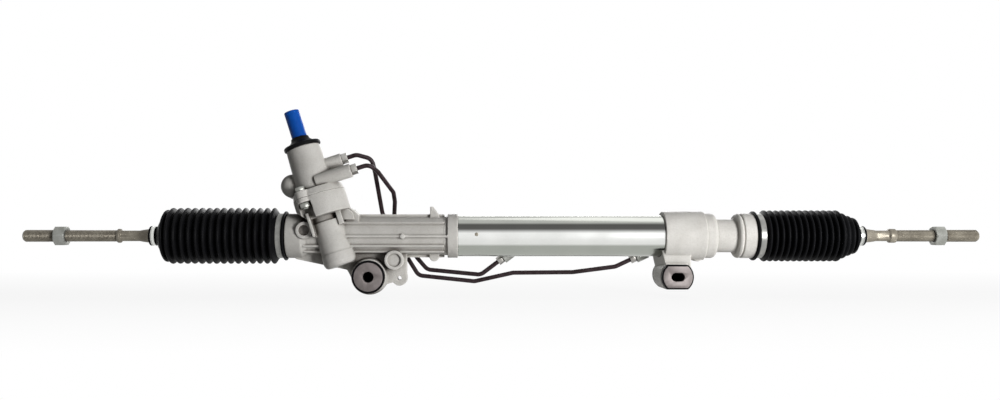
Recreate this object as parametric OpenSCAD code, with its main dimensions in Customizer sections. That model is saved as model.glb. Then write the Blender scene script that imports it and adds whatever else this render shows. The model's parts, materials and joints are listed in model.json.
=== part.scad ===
// Hydraulic rack and pinion steering gear.
// X runs along the rack, +Z is up, and the valve side with the mount faces looks to -Y.
// The origin is the middle of the left mounting bush's bore.

/* [Rack] */
// Diameter of the rack bar
rack_d = 27; // [26:0.5:28]
// Travel of the rack from lock to lock
stroke = 146; // [130:2:150]
// How far the rack stands to the left of its middle position
rest_shift = 16.5; // [0:0.5:25]
// Height of the rack axis above the mounting bolts
rack_rise = 52.5; // [52:0.5:55]
// Distance from the rack axis to the reference line of its teeth
tooth_line = 8.2; // [8:0.1:8.4]

/* [Gear mesh] */
// Module of the teeth
tooth_module = 1.6; // [1.55:0.05:1.65]
// Pressure angle of the teeth in degrees
pressure_angle = 25; // [24:0.5:25]
// Profile shift of the pinion, as a share of the module
profile_shift = 0.4; // [0.38:0.01:0.42]
// Outer radius of the pinion teeth
pinion_tip_r = 9; // [8.8:0.05:9]
// Play between the teeth
backlash = 0.1; // [0.08:0.01:0.2]

/* [Pinion tower] */
// Where the pinion axis crosses the rack, seen from the front
tower_x = -50.5; // [-54:0.5:-48]
// Lean of the tower towards the left in degrees
tower_lean = 18; // [16:0.5:20]
// Lean of the tower towards the back in degrees
tower_back = 4; // [0:0.5:6]
// Radius of the lower pinion barrel
barrel_r = 20.6; // [20:0.2:21.2]
// Depth of the pinion barrel below the rack axis
barrel_drop = 42; // [41:0.5:45]
// Radius of the collar that carries the valve housing
collar_r = 34.5; // [34:0.5:35.5]
// Start of the collar, up the tower axis
collar_low = 25.5; // [25:0.5:27]
// Joint face between the two housings, up the tower axis
joint_w = 53.5; // [53:0.5:56]
// Top face of the valve housing, up the tower axis
tower_top = 121.5; // [120:0.5:124]
// Radius of the valve housing at its foot
valve_low_r = 24.7; // [24.2:0.1:24.8]
// Radius of the valve housing at its top
valve_top_r = 22.2; // [21.6:0.1:22.6]
// Thickness of the valve housing's flange
flange_t = 9; // [8:0.5:10]
// Distance of the flange bolts from the tower axis
bolt_ring_r = 31.5; // [31:0.5:33]
// Direction of the front flange bolt, in degrees from the right
bolt_angle = -120; // [-123:1:-117]

/* [Steering input] */
// Bore of the rotary valve
valve_bore_r = 17; // [16.5:0.1:17.5]
// Radius of the input shaft inside the valve sleeve
rotor_r = 11; // [10.5:0.1:11.5]
// Radius of the splined end of the input shaft
spline_r = 8; // [7.5:0.1:8.4]
// Top end of the input shaft, up the tower axis
shaft_top = 166; // [162:1:168]
// Radius of the protective shaft cap
cap_r = 10; // [9.8:0.1:10.5]
// Height of the shaft cap
cap_h = 36; // [34:1:37]
// Radius of the dust cover
dust_r = 24.3; // [24:0.1:25.5]

/* [Housing] */
// Left end face of the housing
housing_left = -125; // [-127:1:-123]
// Radius of the bare spigots under the bellows
spigot_r = 23.5; // [23:0.5:24]
// Length of the bare spigots
spigot_len = 16; // [15:1:18]
// Radius of the left shoulder behind the spigot
shoulder_r = 29.2; // [28.6:0.2:29.6]
// Radius of the casting between its ribs
tunnel_r = 24.8; // [24.5:0.1:25.5]
// Radius of the casting over its ribs
rib_r = 28.4; // [28:0.2:28.8]
// Thickness of a rib
rib_t = 3; // [2.5:0.25:4]
// Right end face of the main casting
casting_end = 115.5; // [114:0.5:118]
// Clearance radius for the rack inside the castings
rack_bore_r = 16; // [15:0.5:16.5]

/* [Cylinder] */
// Outer radius of the cylinder tube
tube_r = 27; // [26.5:0.25:27.5]
// Bore radius of the cylinder tube
tube_bore_r = 23; // [22.5:0.25:23]
// Depth of the turned-down tube ends in the castings
tube_socket = 18; // [14:1:19]
// Length of the wide part of the end housing
end_wide = 53.6; // [52:0.4:55]
// Radius of the wide part of the end housing
end_r = 32; // [31.4:0.2:32.6]
// Length of the piston
piston_len = 20; // [16:1:22]

/* [Mounts] */
// Distance between the two mounting bolts
mount_span = 398.8; // [396:0.2:402]
// Radius of the left bolt bore
bolt_bore_r = 7; // [6:0.5:7.5]
// Full length of the mounting bushes, front to back
bush_len = 62; // [58:1:66]
// Radius of the bore in the left eye
eye_bore_r = 18.6; // [18.2:0.1:19]
// Wall of the left eye
eye_wall = 5.8; // [5.2:0.2:6.4]
// Width of the casting around a bush, front to back
eye_len = 46; // [44:1:48]
// Width of the oblong hole in the right bush
slot_w = 17; // [15:0.5:18]
// Height of the oblong hole in the right bush
slot_h = 11; // [10:0.5:12]

/* [Tie rods] */
// Ball centre to the tip of the left tie rod
left_rod_len = 223.5; // [215:0.5:235]
// Ball centre to the tip of the right tie rod
right_rod_len = 207; // [200:0.5:212]
// Radius of the threaded ends
rod_r = 8; // [7.5:0.25:8.5]
// Radius of the ball
ball_r = 10.5; // [10:0.1:10.8]
// Largest swing of a tie rod from straight, in degrees
rod_swing = 16; // [12:1:17]
// Free thread outside the left jam nut
left_free = 40; // [36:1:44]
// Free thread outside the right jam nut
right_free = 42; // [36:1:46]

/* [Bellows] */
// Radius over the left bellows
left_bellows_r = 37.2; // [36.4:0.2:39]
// Radius over the right bellows
right_bellows_r = 34; // [33.6:0.2:36]
// Number of folds in each bellows
folds = 15; // [13:1:16]
// Depth of a fold
fold_depth = 6; // [4:0.5:6.5]
// Wall of the bellows, measured towards the axis
bellows_wall = 2.4; // [2:0.2:3]

/* [Pipes] */
// Outer radius of the pressure pipes
pipe_r = 3; // [2.6:0.1:3.2]
// Bend radius of the pressure pipes
pipe_bend = 12; // [8:1:12]

/* [Hidden] */
$fn = 64;
// Radial gap of a seated piece, of a running fit and of a loose fit
seat = 0.02;
running = 0.05;
loose = 0.3;

// Gear mesh, worked out from the module
pinion_teeth = 9;
pitch_r = pinion_teeth * tooth_module / 2;
base_r = pitch_r * cos(pressure_angle);
root_r = pitch_r - tooth_module * (1.25 - profile_shift);
tooth_pitch = PI * tooth_module;
pinion_off = tooth_line + pitch_r + profile_shift * tooth_module;
pinion_s = tooth_module * (PI / 2 + 2 * profile_shift * tan(pressure_angle)) - backlash;
gear_half = 13;

// Stations along the rack
rack_r = rack_d / 2;
stop_gap = 0.5;
end_left = mount_span - 14.8;
end_step_len = 15.2;
end_barrel_len = 26.7;
end_tail = 39;
end_step = end_left + end_wide;
end_barrel = end_step + end_step_len;
end_collar = end_barrel + end_barrel_len;
housing_right = end_collar + end_tail;
housing_len = housing_right - housing_left;
rack_len = housing_len + stroke + 2 * stop_gap;
rack_mid = housing_left + housing_len / 2 - rest_shift;
rack_left = rack_mid - rack_len / 2;
rack_right = rack_mid + rack_len / 2;
travel_left = stroke / 2 - rest_shift;
travel_right = stroke / 2 + rest_shift;

// Ball joints
washer_t = 3;
washer_r = 16.4;
seat_wall = 1.2;
seat_r = ball_r + loose + seat_wall;
cavity_r = seat_r + loose;
socket_r = cavity_r + 4.7;
socket_back = 2.7;
ball_reach = washer_t + socket_back + cavity_r;
socket_mouth = 8;
stud_r = 7.5;
stud_len = 26;
ball_left = rack_left - ball_reach;
ball_right = rack_right + ball_reach;
neck_r = 5.5;
neck_angle = asin(neck_r / ball_r);
seat_angle = neck_angle + rod_swing + 9;
mouth_angle = neck_angle + acos(pow(cos(rod_swing), 2)) + 8;

// Tower stations, measured up the tower axis from the rack
lower_bearing_w = -29;
lower_bearing_t = 11;
plug_t = 6;
upper_bearing_t = 12;
upper_bearing_w = joint_w - upper_bearing_t - 9;
cavity_w = 14;
journal_w = 18;
journal_r = 6;
lower_seat_r = 13.5;
upper_seat_r = 17.5;
nut_h = 6;
seal_t = 6;
cup_low = joint_w - 15;
cup_high = joint_w - 1;
sleeve_low = joint_w + 7;
top_bearing_w = tower_top - 13;
sleeve_high = top_bearing_w - 2;
top_bearing_t = 6;
top_journal_r = 9.5;
top_seat_r = 13;
top_seal_r = 15;
torsion_r = 4;
collar_off = 1.5;
flange_top_r = collar_r - 2.5;
notch_r = 10.5;
barrel_off = 2;
neck_top = 18;
tower_neck_r = 16.5;
ear_t = 6;
ear_relief = 0.1;
bolt_r = 4;
bolt_head_r = 6.5;
bolt_head_h = 5.5;
bolt_nut_h = 6.5;
ear_r = 9;

// Rack guide behind the rack
guide_r = 17.4;
guide_boss_r = 23.5;
guide_low = 4;
guide_back = 27;
guide_gap = 1.5;
guide_pocket = 8;
guide_boss_end = 44;
guide_plug_r = 18.9;
guide_plug_end = 54;
guide_nut_r = 27;
guide_nut_h = 8;
spring_r = 8.6;
spring_wire = 1.2;
spring_turns = 4;

// Seals, bushes and piston on the rack
inner_seal_r = 20;
inner_seal_t = 12;
tube_step = 2;
tube_step_r = tube_r - tube_step;
chamber_end = end_left + tube_socket + 18;
outer_seal_r = 18.5;
outer_seal_t = 12;
rack_bush_r = 17;
rack_bush_t = 34;
piston_x = (casting_end - tube_socket + chamber_end) / 2 - rest_shift;
end_barrel_r = 21.7;
end_step_r = 29.3;

// Pipe ports on the valve housing, as right, front to back, up
upper_port = [0, 2, 90.5];
lower_port = [5, -19, 70];
port_r = 8.3;
lower_port_r = 8.9;
port_end = 44;
lower_port_end = 53;
pipe_nut_r = pipe_r + 4;
tube_nut_r = pipe_r + 2.8;
pipe_nut_h = 8;

// Ports on the tube: middle of each boss along the rack, and its rise from the horizontal
left_port = [181.3, 37];
right_port = [360.1, 25];
tube_port_r = 8;
tube_port_low = 7;
tube_port_high = 9;
tube_port_y = 20;
tube_port_drop = 26;
tube_port_z = rack_rise - tube_port_drop;

// Small ends of the bellows, measured from the ball centres
boot_out_left = 56.5;
boot_out_right = 56.9;

// Places

// Leaned frame of the rack: Y runs from the pinion to the rack guide
module at_rack() { translate([0, 0, rack_rise]) rotate([-tower_back, 0, 0]) children(); }

// Frame of the tower: Z runs up the pinion axis
module at_tower() {
    at_rack() translate([tower_x, -pinion_off, 0]) rotate([0, -tower_lean, 0]) children();
}

// Frame of the rack guide: Z runs from the rack to the back
module at_guide() { at_rack() translate([tower_x, 0, 0]) rotate([-90, 0, 0]) children(); }

// Turned shape on the rack axis, from points of radius and place along X
module turned(points) {
    translate([0, 0, rack_rise]) rotate([0, 90, 0]) rotate_extrude() polygon(points);
}

// Ring on the rack axis
module rack_ring(x0, x1, r_in, r_out) {
    turned([[r_in, x0], [r_out, x0], [r_out, x1], [r_in, x1]]);
}

// Plain or hollow cylinder up the tower axis
module tower_ring(w0, w1, r_in, r_out) {
    at_tower() translate([0, 0, w0]) difference() {
        cylinder(h = w1 - w0, r = r_out);
        if (r_in > 0) translate([0, 0, -1]) cylinder(h = w1 - w0 + 2, r = r_in);
    }
}

// Cylinder along Y through a point of the front view
module front_boss(x, z, y0, y1, r) {
    translate([x, y0, z]) rotate([-90, 0, 0]) cylinder(h = y1 - y0, r = r);
}

// Outline in the front view, thickened from y0 to y1
module front_plate(y0, y1) {
    translate([0, y1, 0]) rotate([90, 0, 0]) linear_extrude(height = y1 - y0) children();
}

// Hexagon nut blank, measured over its corners
module hex_ring(h, r_out, r_in) {
    difference() {
        cylinder(h = h, r = r_out, $fn = 6);
        translate([0, 0, -1]) cylinder(h = h + 2, r = r_in);
    }
}

// Points of an arc, as radius and place, for turned shapes
function arc(cx, cy, r, a0, a1, n = 6) =
    [for (i = [0:n]) let (a = a0 + (a1 - a0) * i / n) [cx + r * cos(a), cy + r * sin(a)]];

// Gear teeth

function polar(r, a) = [r * cos(a), r * sin(a)];
function inv_deg(a) = tan(a) * 180 / PI - a;
function flank(r) = pinion_s / (2 * pitch_r) * 180 / PI + inv_deg(pressure_angle)
    - (r > base_r ? inv_deg(acos(base_r / r)) : 0);
flank_steps = 8;
function flank_r(i) = base_r + (pinion_tip_r - base_r) * i / flank_steps;

function tooth_points(a) = concat(
    [polar(root_r, a - flank(root_r))],
    [for (i = [0:flank_steps]) polar(flank_r(i), a - flank(flank_r(i)))],
    [for (i = [flank_steps:-1:0]) polar(flank_r(i), a + flank(flank_r(i)))],
    [polar(root_r, a + flank(root_r))]);

// The pinion's outline, with a tooth standing straight in the rack's space
module pinion_outline() {
    polygon([for (k = [0:pinion_teeth - 1]) each tooth_points(90 + k * 360 / pinion_teeth)]);
}

// The rack's tooth spaces as one comb, in the tower frame moved to the rack axis
tip_v = -tooth_line - tooth_module;
root_v = -tooth_line + 1.25 * tooth_module;
half_tip = tooth_pitch / 4 + tooth_module * tan(pressure_angle);
half_root = tooth_pitch / 4 - 1.25 * tooth_module * tan(pressure_angle);
spaces_left = ceil((travel_right + 12) * cos(tower_lean) / tooth_pitch);
spaces_right = ceil((travel_left + 12) * cos(tower_lean) / tooth_pitch);

// Half height of the cutter: the rack leaves the tower's foot sideways as it leans
comb_half = rack_r + (travel_right + 20) * sin(tower_lean) + 5;

module tooth_comb() {
    u0 = -(spaces_left + 0.5) * tooth_pitch;
    u1 = (spaces_right + 0.5) * tooth_pitch;
    polygon(concat([[u1, tip_v], [u1, -rack_r - 5], [u0, -rack_r - 5], [u0, tip_v]],
        [for (k = [-spaces_left:spaces_right]) each
            [[k * tooth_pitch - half_tip, tip_v], [k * tooth_pitch - half_root, root_v],
             [k * tooth_pitch + half_root, root_v], [k * tooth_pitch + half_tip, tip_v]]]));
}

// Main casting

rib_end = casting_end - 17.5;
eye_r = eye_bore_r + eye_wall;
plug_boss = [33, 21.7];
plug_boss_r = 12.5;
lug = [39.2, -2.7];
lug_r = 10;
recess_boss = [-82.5, 60.3];
recess_boss_r = 11;
front_ribs = [40, 0, -28, -48];
rear_ribs = [140, 180, 222];

module housing_core() {
    turned(concat([[0, housing_left], [spigot_r, housing_left],
        [spigot_r, housing_left + spigot_len]],
        arc(shoulder_r - 1.5, housing_left + spigot_len + 1.5, 1.5, -90, 0, 3),
        [[shoulder_r, housing_left + 37], [tunnel_r, housing_left + 44],
         [tunnel_r, casting_end - 13.5], [rib_r + 0.4, casting_end - 13.5],
         [rib_r + 0.4, casting_end], [0, casting_end]]));
}

module housing_ribs() {
    rib_start = housing_left + 40;
    for (a = concat(front_ribs, rear_ribs, [90, 270]))
        translate([rib_start, 0, rack_rise]) rotate([-a, 0, 0])
            translate([0, -rib_r, -rib_t / 2])
                cube([(a == 0 ? casting_end - 13.4 : rib_end) - rib_start, rib_r - 20, rib_t]);
}

// Web from the left shoulder to the eye, the eye and the small lug beside it
module eye_web() {
    polygon([[housing_left + 28, rack_rise - shoulder_r - 0.9], [-29.7, 7.9], [-22, -6], [-12, -14],
        [12, -14], [lug[0] + lug_r - 0.8, lug[1]], [lug[0] + lug_r - 0.8, rack_rise - 22],
        [housing_left + 28, rack_rise - 18]]);
}

module left_eye() {
    rotate([-90, 0, 0]) rotate_extrude() polygon([[0, -eye_len / 2], [eye_r - 1.9, -eye_len / 2],
        [eye_r, -9], [eye_r, 9], [eye_r - 1.9, eye_len / 2], [0, eye_len / 2]]);
}

// Round collar, cut away in a slant at its lower left and around the bolts
module tower_collar() {
    difference() {
        translate([collar_off, 0, collar_low]) cylinder(h = joint_w - collar_low, r = collar_r);
        translate([-19, -collar_r - 2, collar_low]) rotate([0, -131.6, 0])
            translate([-30, 0, 0]) cube([80, 2 * collar_r + 4, 40]);
        for (s = [0, 180]) rotate([0, 0, bolt_angle + s])
            translate([bolt_ring_r, 0, collar_low - 1])
                cylinder(h = joint_w - ear_t - collar_low + 1.6, r = notch_r);
    }
}

module lower_tower() {
    at_tower() {
        translate([barrel_off, 0, 0]) rotate_extrude() polygon([[0, -barrel_drop],
            [barrel_r - 3, -barrel_drop], [barrel_r - 0.6, -barrel_drop + 2],
            [barrel_r + 1, -barrel_drop + 6], [barrel_r + 1, -25], [barrel_r, -24.4], [barrel_r, neck_top], [0, neck_top]]);
        translate([0, 0, neck_top - 1]) cylinder(h = collar_low - neck_top + 2, r = tower_neck_r);
        translate([17, -18, 8]) cube([6.5, 18, 20]);
        translate([-19.5, -24, 3]) cube([4, 24, 31]);
        tower_collar();
        for (s = [0, 180]) rotate([0, 0, bolt_angle + s])
            translate([bolt_ring_r, 0, joint_w - ear_t]) cylinder(h = ear_t - ear_relief, r = ear_r);
    }
}

module tower_cuts() {
    at_tower() {
        translate([0, 0, -barrel_drop - 20])
            cylinder(h = barrel_drop + 20 + lower_bearing_w + lower_bearing_t, r = lower_seat_r);
        translate([0, 0, -barrel_drop]) cylinder(h = barrel_drop + cavity_w, r = pinion_tip_r + 1.2);
        cylinder(h = joint_w + 1, r = rotor_r + 1.5);
        translate([0, 0, upper_bearing_w]) cylinder(h = joint_w, r = upper_seat_r);
        for (s = [0, 180]) rotate([0, 0, bolt_angle + s])
            translate([bolt_ring_r, 0, joint_w - ear_t - 1]) cylinder(h = ear_t + 2, r = bolt_r + 0.3);
    }
}

module guide_boss() {
    at_guide() cylinder(h = guide_boss_end, r = guide_boss_r);
}

module guide_cuts() {
    at_guide() {
        translate([0, 0, guide_low - 1]) cylinder(h = guide_boss_end, r = guide_r + running);
        translate([0, 0, guide_back]) cylinder(h = guide_boss_end, r = guide_plug_r + running);
    }
}

module rack_housing() {
    color("silver") difference() {
        union() {
            housing_core();
            housing_ribs();
            lower_tower();
            guide_boss();
            left_eye();
            front_plate(-9, 9) eye_web();
            front_boss(lug[0], lug[1], -9, 9, lug_r);
            front_boss(plug_boss[0], plug_boss[1], -26, 10, plug_boss_r);
            front_boss(recess_boss[0], recess_boss[1], -32, 0, recess_boss_r);
            front_boss(44, rack_rise, -rib_r - 1.6, -20, 3.3);
            front_plate(-6, 6) polygon([[79, 70], [79, 91], [83, 91], [91, 80], [91, 70]]);
            front_plate(-20, 8) polygon([[-30, 70], [-30, 90], [-22, 88], [-13, 80], [-13, 70]]);
            front_boss(84.5, rack_rise - rib_r + 1.5, -7, 7, 6.5);
        }
        rack_ring(housing_left - 1, casting_end + 1, 0, rack_bore_r);
        rack_ring(casting_end - tube_socket - inner_seal_t - 2, casting_end, 0, inner_seal_r);
        rack_ring(casting_end - tube_socket, casting_end + 1, 0, tube_step_r + seat);
        tower_cuts();
        guide_cuts();
        front_boss(0, 0, -eye_len, eye_len, eye_bore_r);
        front_boss(plug_boss[0], plug_boss[1], -27, -23, 8.6);
        front_boss(recess_boss[0], recess_boss[1], -33, -26, 6.8);
        front_boss(lug[0], lug[1], -20, 20, 2.8);
    }
}

// Pinion and its bearings

module pinion_lower_bearing() {
    color("dimgray") tower_ring(lower_bearing_w, lower_bearing_w + lower_bearing_t,
        journal_r + running, lower_seat_r - seat);
}

module pinion_end_plug() {
    color("lightgray") at_tower() translate([0, 0, -barrel_drop]) difference() {
        cylinder(h = plug_t, r = lower_seat_r - seat);
        translate([0, 0, -1]) cylinder(h = 4, r = 6, $fn = 6);
    }
}

ball_track_r = (rotor_r + upper_seat_r) / 2;
bearing_ball_r = 2.2;
bearing_mid = upper_bearing_w + upper_bearing_t / 2;

// Grooved bearing ring
module bearing_ring(r_in, r_out) {
    at_tower() translate([0, 0, upper_bearing_w]) difference() {
        cylinder(h = upper_bearing_t, r = r_out);
        translate([0, 0, -1]) cylinder(h = upper_bearing_t + 2, r = r_in);
        translate([0, 0, upper_bearing_t / 2]) rotate_extrude()
            translate([ball_track_r, 0]) circle(r = bearing_ball_r + 0.06);
    }
}

module upper_bearing_outer_ring() {
    color("gray") bearing_ring(ball_track_r + 1, upper_seat_r - seat);
}

module upper_bearing_balls() {
    color("silver") at_tower() translate([0, 0, bearing_mid])
        for (k = [0:13]) rotate([0, 0, k * 360 / 14])
            translate([ball_track_r, 0, 0]) sphere(r = bearing_ball_r, $fn = 32);
}

module upper_bearing_inner_ring() {
    color("gray") bearing_ring(rotor_r + seat, ball_track_r - 1);
}

module pinion() {
    color("darkgray") at_tower() difference() {
        union() {
            translate([0, 0, -gear_half]) linear_extrude(height = 2 * gear_half) pinion_outline();
            translate([0, 0, lower_bearing_w - nut_h]) cylinder(h = -lower_bearing_w + nut_h - gear_half + 1,
                r = journal_r);
            translate([0, 0, gear_half - 1]) cylinder(h = journal_w - gear_half + 2, r = root_r);
            translate([0, 0, journal_w]) cylinder(h = cup_low - journal_w, r = rotor_r - 0.1);
            translate([0, 0, upper_bearing_w]) cylinder(h = cup_low, r = rotor_r);
        }
        translate([0, 0, -8]) cylinder(h = 120, r = torsion_r + running);
        translate([0, 0, cup_high + 1]) cylinder(h = 60, r = 30);
        translate([0, 0, cup_low]) cylinder(h = 60, r = spline_r + running);
    }
}

module pinion_nut() {
    color("gray") at_tower() translate([0, 0, lower_bearing_w - nut_h - 0.4])
        hex_ring(nut_h, 10.5, journal_r + seat);
}

module pinion_oil_seal() {
    color("black") tower_ring(joint_w - seal_t - 1, joint_w - 1, rotor_r + running, upper_seat_r - seat);
}

// Valve housing

module valve_flange() {
    translate([collar_off, 0, joint_w]) cylinder(h = flange_t, r1 = collar_r, r2 = flange_top_r);
    for (s = [0, 180]) rotate([0, 0, bolt_angle + s])
        translate([bolt_ring_r, 0, joint_w]) cylinder(h = flange_t, r = ear_r);
}

// Inlet and return connections at the back left, with a domed front
inlet = [-28.5, 8, 77.5];
inlet_r = 15.5;
return_port = [10, 8, 101.5];
return_r = 10;
thread_depth = 16;
inlet_thread_r = 7;
return_thread_r = 6;
inlet_end = 36;

module inlet_bosses() {
    translate(inlet) sphere(r = inlet_r);
    translate(inlet) rotate([-90, 0, 0]) cylinder(h = inlet_end - inlet[1], r = inlet_r);
    translate(return_port) rotate([-90, 0, 0])
        cylinder(h = inlet_end - return_port[1], r = return_r);
}

module port_boss(p, end, r) {
    translate(p) rotate([0, 90, 0]) cylinder(h = end - p[0], r = r);
}

module port_hole(p, end) {
    translate([end - 14, p[1], p[2]]) rotate([0, 90, 0]) cylinder(h = 15, r = pipe_nut_r - 2);
    translate([12, p[1], p[2]]) rotate([0, 90, 0]) cylinder(h = end - 20, r = 1.6);
}

module valve_housing() {
    color("silver") at_tower() difference() {
        union() {
            valve_flange();
            translate([0, 0, joint_w]) cylinder(h = tower_top - joint_w - 2, r1 = valve_low_r,
                r2 = valve_top_r);
            translate([0, 0, tower_top - 3]) cylinder(h = 3, r = valve_top_r - 0.8);
            port_boss(upper_port, port_end, port_r);
            port_boss(lower_port, lower_port_end, lower_port_r);
            inlet_bosses();
        }
        translate([0, 0, joint_w - 1]) cylinder(h = top_bearing_w - joint_w + 1, r = valve_bore_r);
        translate([0, 0, joint_w - 1]) cylinder(h = 4, r = upper_seat_r + 1.5);
        translate([0, 0, joint_w]) cylinder(h = top_bearing_w + top_bearing_t - joint_w, r = top_seat_r);
        translate([0, 0, top_bearing_w + top_bearing_t]) cylinder(h = 30, r = top_seal_r);
        port_hole(upper_port, port_end);
        port_hole(lower_port, lower_port_end);
        translate([inlet[0], inlet_end - thread_depth, inlet[2]]) rotate([-90, 0, 0])
            cylinder(h = thread_depth + 1, r = inlet_thread_r);
        translate([return_port[0], inlet_end - thread_depth, return_port[2]]) rotate([-90, 0, 0])
            cylinder(h = thread_depth + 1, r = return_thread_r);
        for (s = [0, 180]) rotate([0, 0, bolt_angle + s])
            translate([bolt_ring_r, 0, joint_w - 1]) cylinder(h = flange_t + 2, r = bolt_r + 0.3);
    }
}

module valve_housing_o_ring() {
    color("black") at_tower() translate([0, 0, joint_w + 1.5]) rotate_extrude()
        translate([valve_bore_r + 0.9, 0]) circle(r = 0.85);
}

module each_bolt() {
    at_tower() for (s = [0, 180]) rotate([0, 0, bolt_angle + s])
        translate([bolt_ring_r, 0, 0]) children();
}

module valve_housing_bolts() {
    color("gainsboro") each_bolt() {
        translate([0, 0, joint_w + flange_t]) rotate([0, 0, 30])
            cylinder(h = bolt_head_h, r = bolt_head_r, $fn = 6);
        translate([0, 0, joint_w - ear_t - bolt_nut_h - 2])
            cylinder(h = ear_t + flange_t + bolt_nut_h + 3, r = bolt_r);
    }
}

module valve_housing_nuts() {
    color("gainsboro") each_bolt() translate([0, 0, joint_w - ear_t - bolt_nut_h])
        rotate([0, 0, 30]) hex_ring(bolt_nut_h, bolt_head_r + 0.4, bolt_r + seat);
}

module valve_sleeve() {
    color("darkgoldenrod") at_tower() difference() {
        translate([0, 0, sleeve_low]) cylinder(h = sleeve_high - sleeve_low, r = valve_bore_r - 0.35);
        translate([0, 0, sleeve_low - 1]) cylinder(h = 60, r = rotor_r + running);
        for (k = [0:3]) translate([0, 0, ring_w(k)]) difference() {
            cylinder(h = ring_t, r = valve_bore_r + 1);
            translate([0, 0, -1]) cylinder(h = ring_t + 2, r = valve_bore_r - 2);
        }
    }
}

ring_t = 1.6;
function ring_w(k) = sleeve_low + 2 + k * (sleeve_high - sleeve_low - 4 - ring_t) / 3;

module valve_sleeve_rings() {
    color("ivory") for (k = [0:3])
        tower_ring(ring_w(k) + seat, ring_w(k) + ring_t - seat, valve_bore_r - 2 + seat,
            valve_bore_r - 0.03);
}

module input_shaft() {
    color("silver") at_tower() difference() {
        union() {
            translate([0, 0, cup_low + 1]) cylinder(h = sleeve_low - cup_low, r = spline_r);
            translate([0, 0, cup_high + 2]) cylinder(h = top_bearing_w - cup_high - 2, r = rotor_r);
            translate([0, 0, top_bearing_w - 1]) cylinder(h = tower_top - top_bearing_w + 3,
                r = top_journal_r);
            translate([0, 0, tower_top]) cylinder(h = shaft_top - tower_top, r = spline_r);
        }
        translate([0, 0, cup_low]) cylinder(h = 150, r = torsion_r + seat);
        translate([-rotor_r, 0, pin_w]) rotate([0, 90, 0]) cylinder(h = 2 * rotor_r, r = pin_r + seat);
        for (k = [0:5]) rotate([0, 0, k * 60]) translate([rotor_r - 1, -1.5, sleeve_low + 6])
            cube([3, 3, 26]);
    }
}

pin_w = shaft_top - 12;
pin_r = 1.5;

module torsion_bar() {
    color("slategray") at_tower() difference() {
        union() {
            translate([0, 0, -7]) cylinder(h = 30, r = torsion_r);
            translate([0, 0, 22]) cylinder(h = shaft_top - 44, r = 2.8);
            translate([0, 0, shaft_top - 24]) cylinder(h = 23, r = torsion_r);
        }
        translate([-rotor_r, 0, pin_w]) rotate([0, 90, 0]) cylinder(h = 2 * rotor_r, r = pin_r + seat);
    }
}

module torsion_bar_pin() {
    color("gray") at_tower() translate([-spline_r + 0.5, 0, pin_w]) rotate([0, 90, 0])
        cylinder(h = 2 * spline_r - 1, r = pin_r);
}

module input_needle_bearing() {
    color("gray") tower_ring(top_bearing_w + 0.2, top_bearing_w + top_bearing_t,
        top_journal_r + running, top_seat_r - seat);
}

module input_oil_seal() {
    color("black") tower_ring(top_bearing_w + top_bearing_t + 0.2, tower_top - 2.2,
        top_journal_r + running, top_seal_r - seat);
}

module input_snap_ring() {
    color("gray") at_tower() translate([0, 0, tower_top - 2]) difference() {
        cylinder(h = 1.4, r = top_seal_r - seat);
        translate([0, 0, -1]) cylinder(h = 4, r = top_seal_r - 2.6);
        translate([0, -2, -1]) cube([top_seal_r + 1, 4, 4]);
    }
}

dust_low = tower_top - 1.5;
dust_high = tower_top + 13;

module dust_cover() {
    color("black") at_tower() difference() {
        rotate_extrude() polygon(concat([[valve_top_r - 3, dust_low], [dust_r - 0.8, dust_low],
            [dust_r, dust_low + 1], [dust_r, dust_low + 4], [dust_r - 1, dust_low + 5],
            [17, dust_low + 6.6], [12.5, dust_high - 4], [11.5, dust_high],
            [spline_r + running, dust_high], [spline_r + running, tower_top + 2.6],
            [valve_top_r - 3, tower_top + 2.6]]));
        translate([0, 0, tower_top - 10]) cylinder(h = 10 + loose, r = valve_top_r - 0.8 + loose);
    }
}

module shaft_cap() {
    color("royalblue") at_tower() translate([0, 0, dust_high + 0.3]) difference() {
        cylinder(h = cap_h, r = cap_r);
        translate([0, 0, -1]) cylinder(h = shaft_top - dust_high + 1.7, r = spline_r + 0.1);
    }
}

// Rack guide

module rack_guide() {
    color("lightgray") difference() {
        at_guide() translate([0, 0, guide_low]) cylinder(h = guide_back - guide_low, r = guide_r);
        rack_ring(tower_x - 40, tower_x + 40, 0, rack_r + 0.1);
        at_guide() translate([0, 0, guide_back - guide_pocket]) cylinder(h = 20, r = 11.5);
    }
}

// Wire wound at a constant pitch with 8 sides
module guide_spring() {
    low = guide_back - guide_pocket + spring_wire + 0.05;
    high = guide_back + guide_gap - spring_wire - 0.05;
    steps = spring_turns * 20;
    points = [for (i = [0:steps], k = [0:7]) let (a = i * 18, b = k * 45,
        r = spring_r + spring_wire * cos(b))
        [r * cos(a), r * sin(a), low + (high - low) * i / steps + spring_wire * sin(b)]];
    sides = [for (i = [0:steps - 1], k = [0:7])
        [i * 8 + k, i * 8 + (k + 1) % 8, (i + 1) * 8 + (k + 1) % 8, (i + 1) * 8 + k]];
    ends = [[for (k = [7:-1:0]) k], [for (k = [0:7]) steps * 8 + k]];
    color("gray") at_guide() polyhedron(points = points, faces = concat(sides, ends));
}

module guide_plug() {
    color("gray") at_guide() difference() {
        translate([0, 0, guide_back + guide_gap])
            cylinder(h = guide_plug_end - guide_back - guide_gap, r = guide_plug_r);
        translate([0, 0, guide_plug_end - 9]) cylinder(h = 12, r = 9.8, $fn = 6);
    }
}

module guide_lock_nut() {
    color("gray") at_guide() translate([0, 0, guide_boss_end])
        hex_ring(guide_nut_h, guide_nut_r, guide_plug_r + running);
}

// Cylinder and end housing

tube_left = casting_end - tube_socket;
tube_right = end_left + tube_socket;

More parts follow.
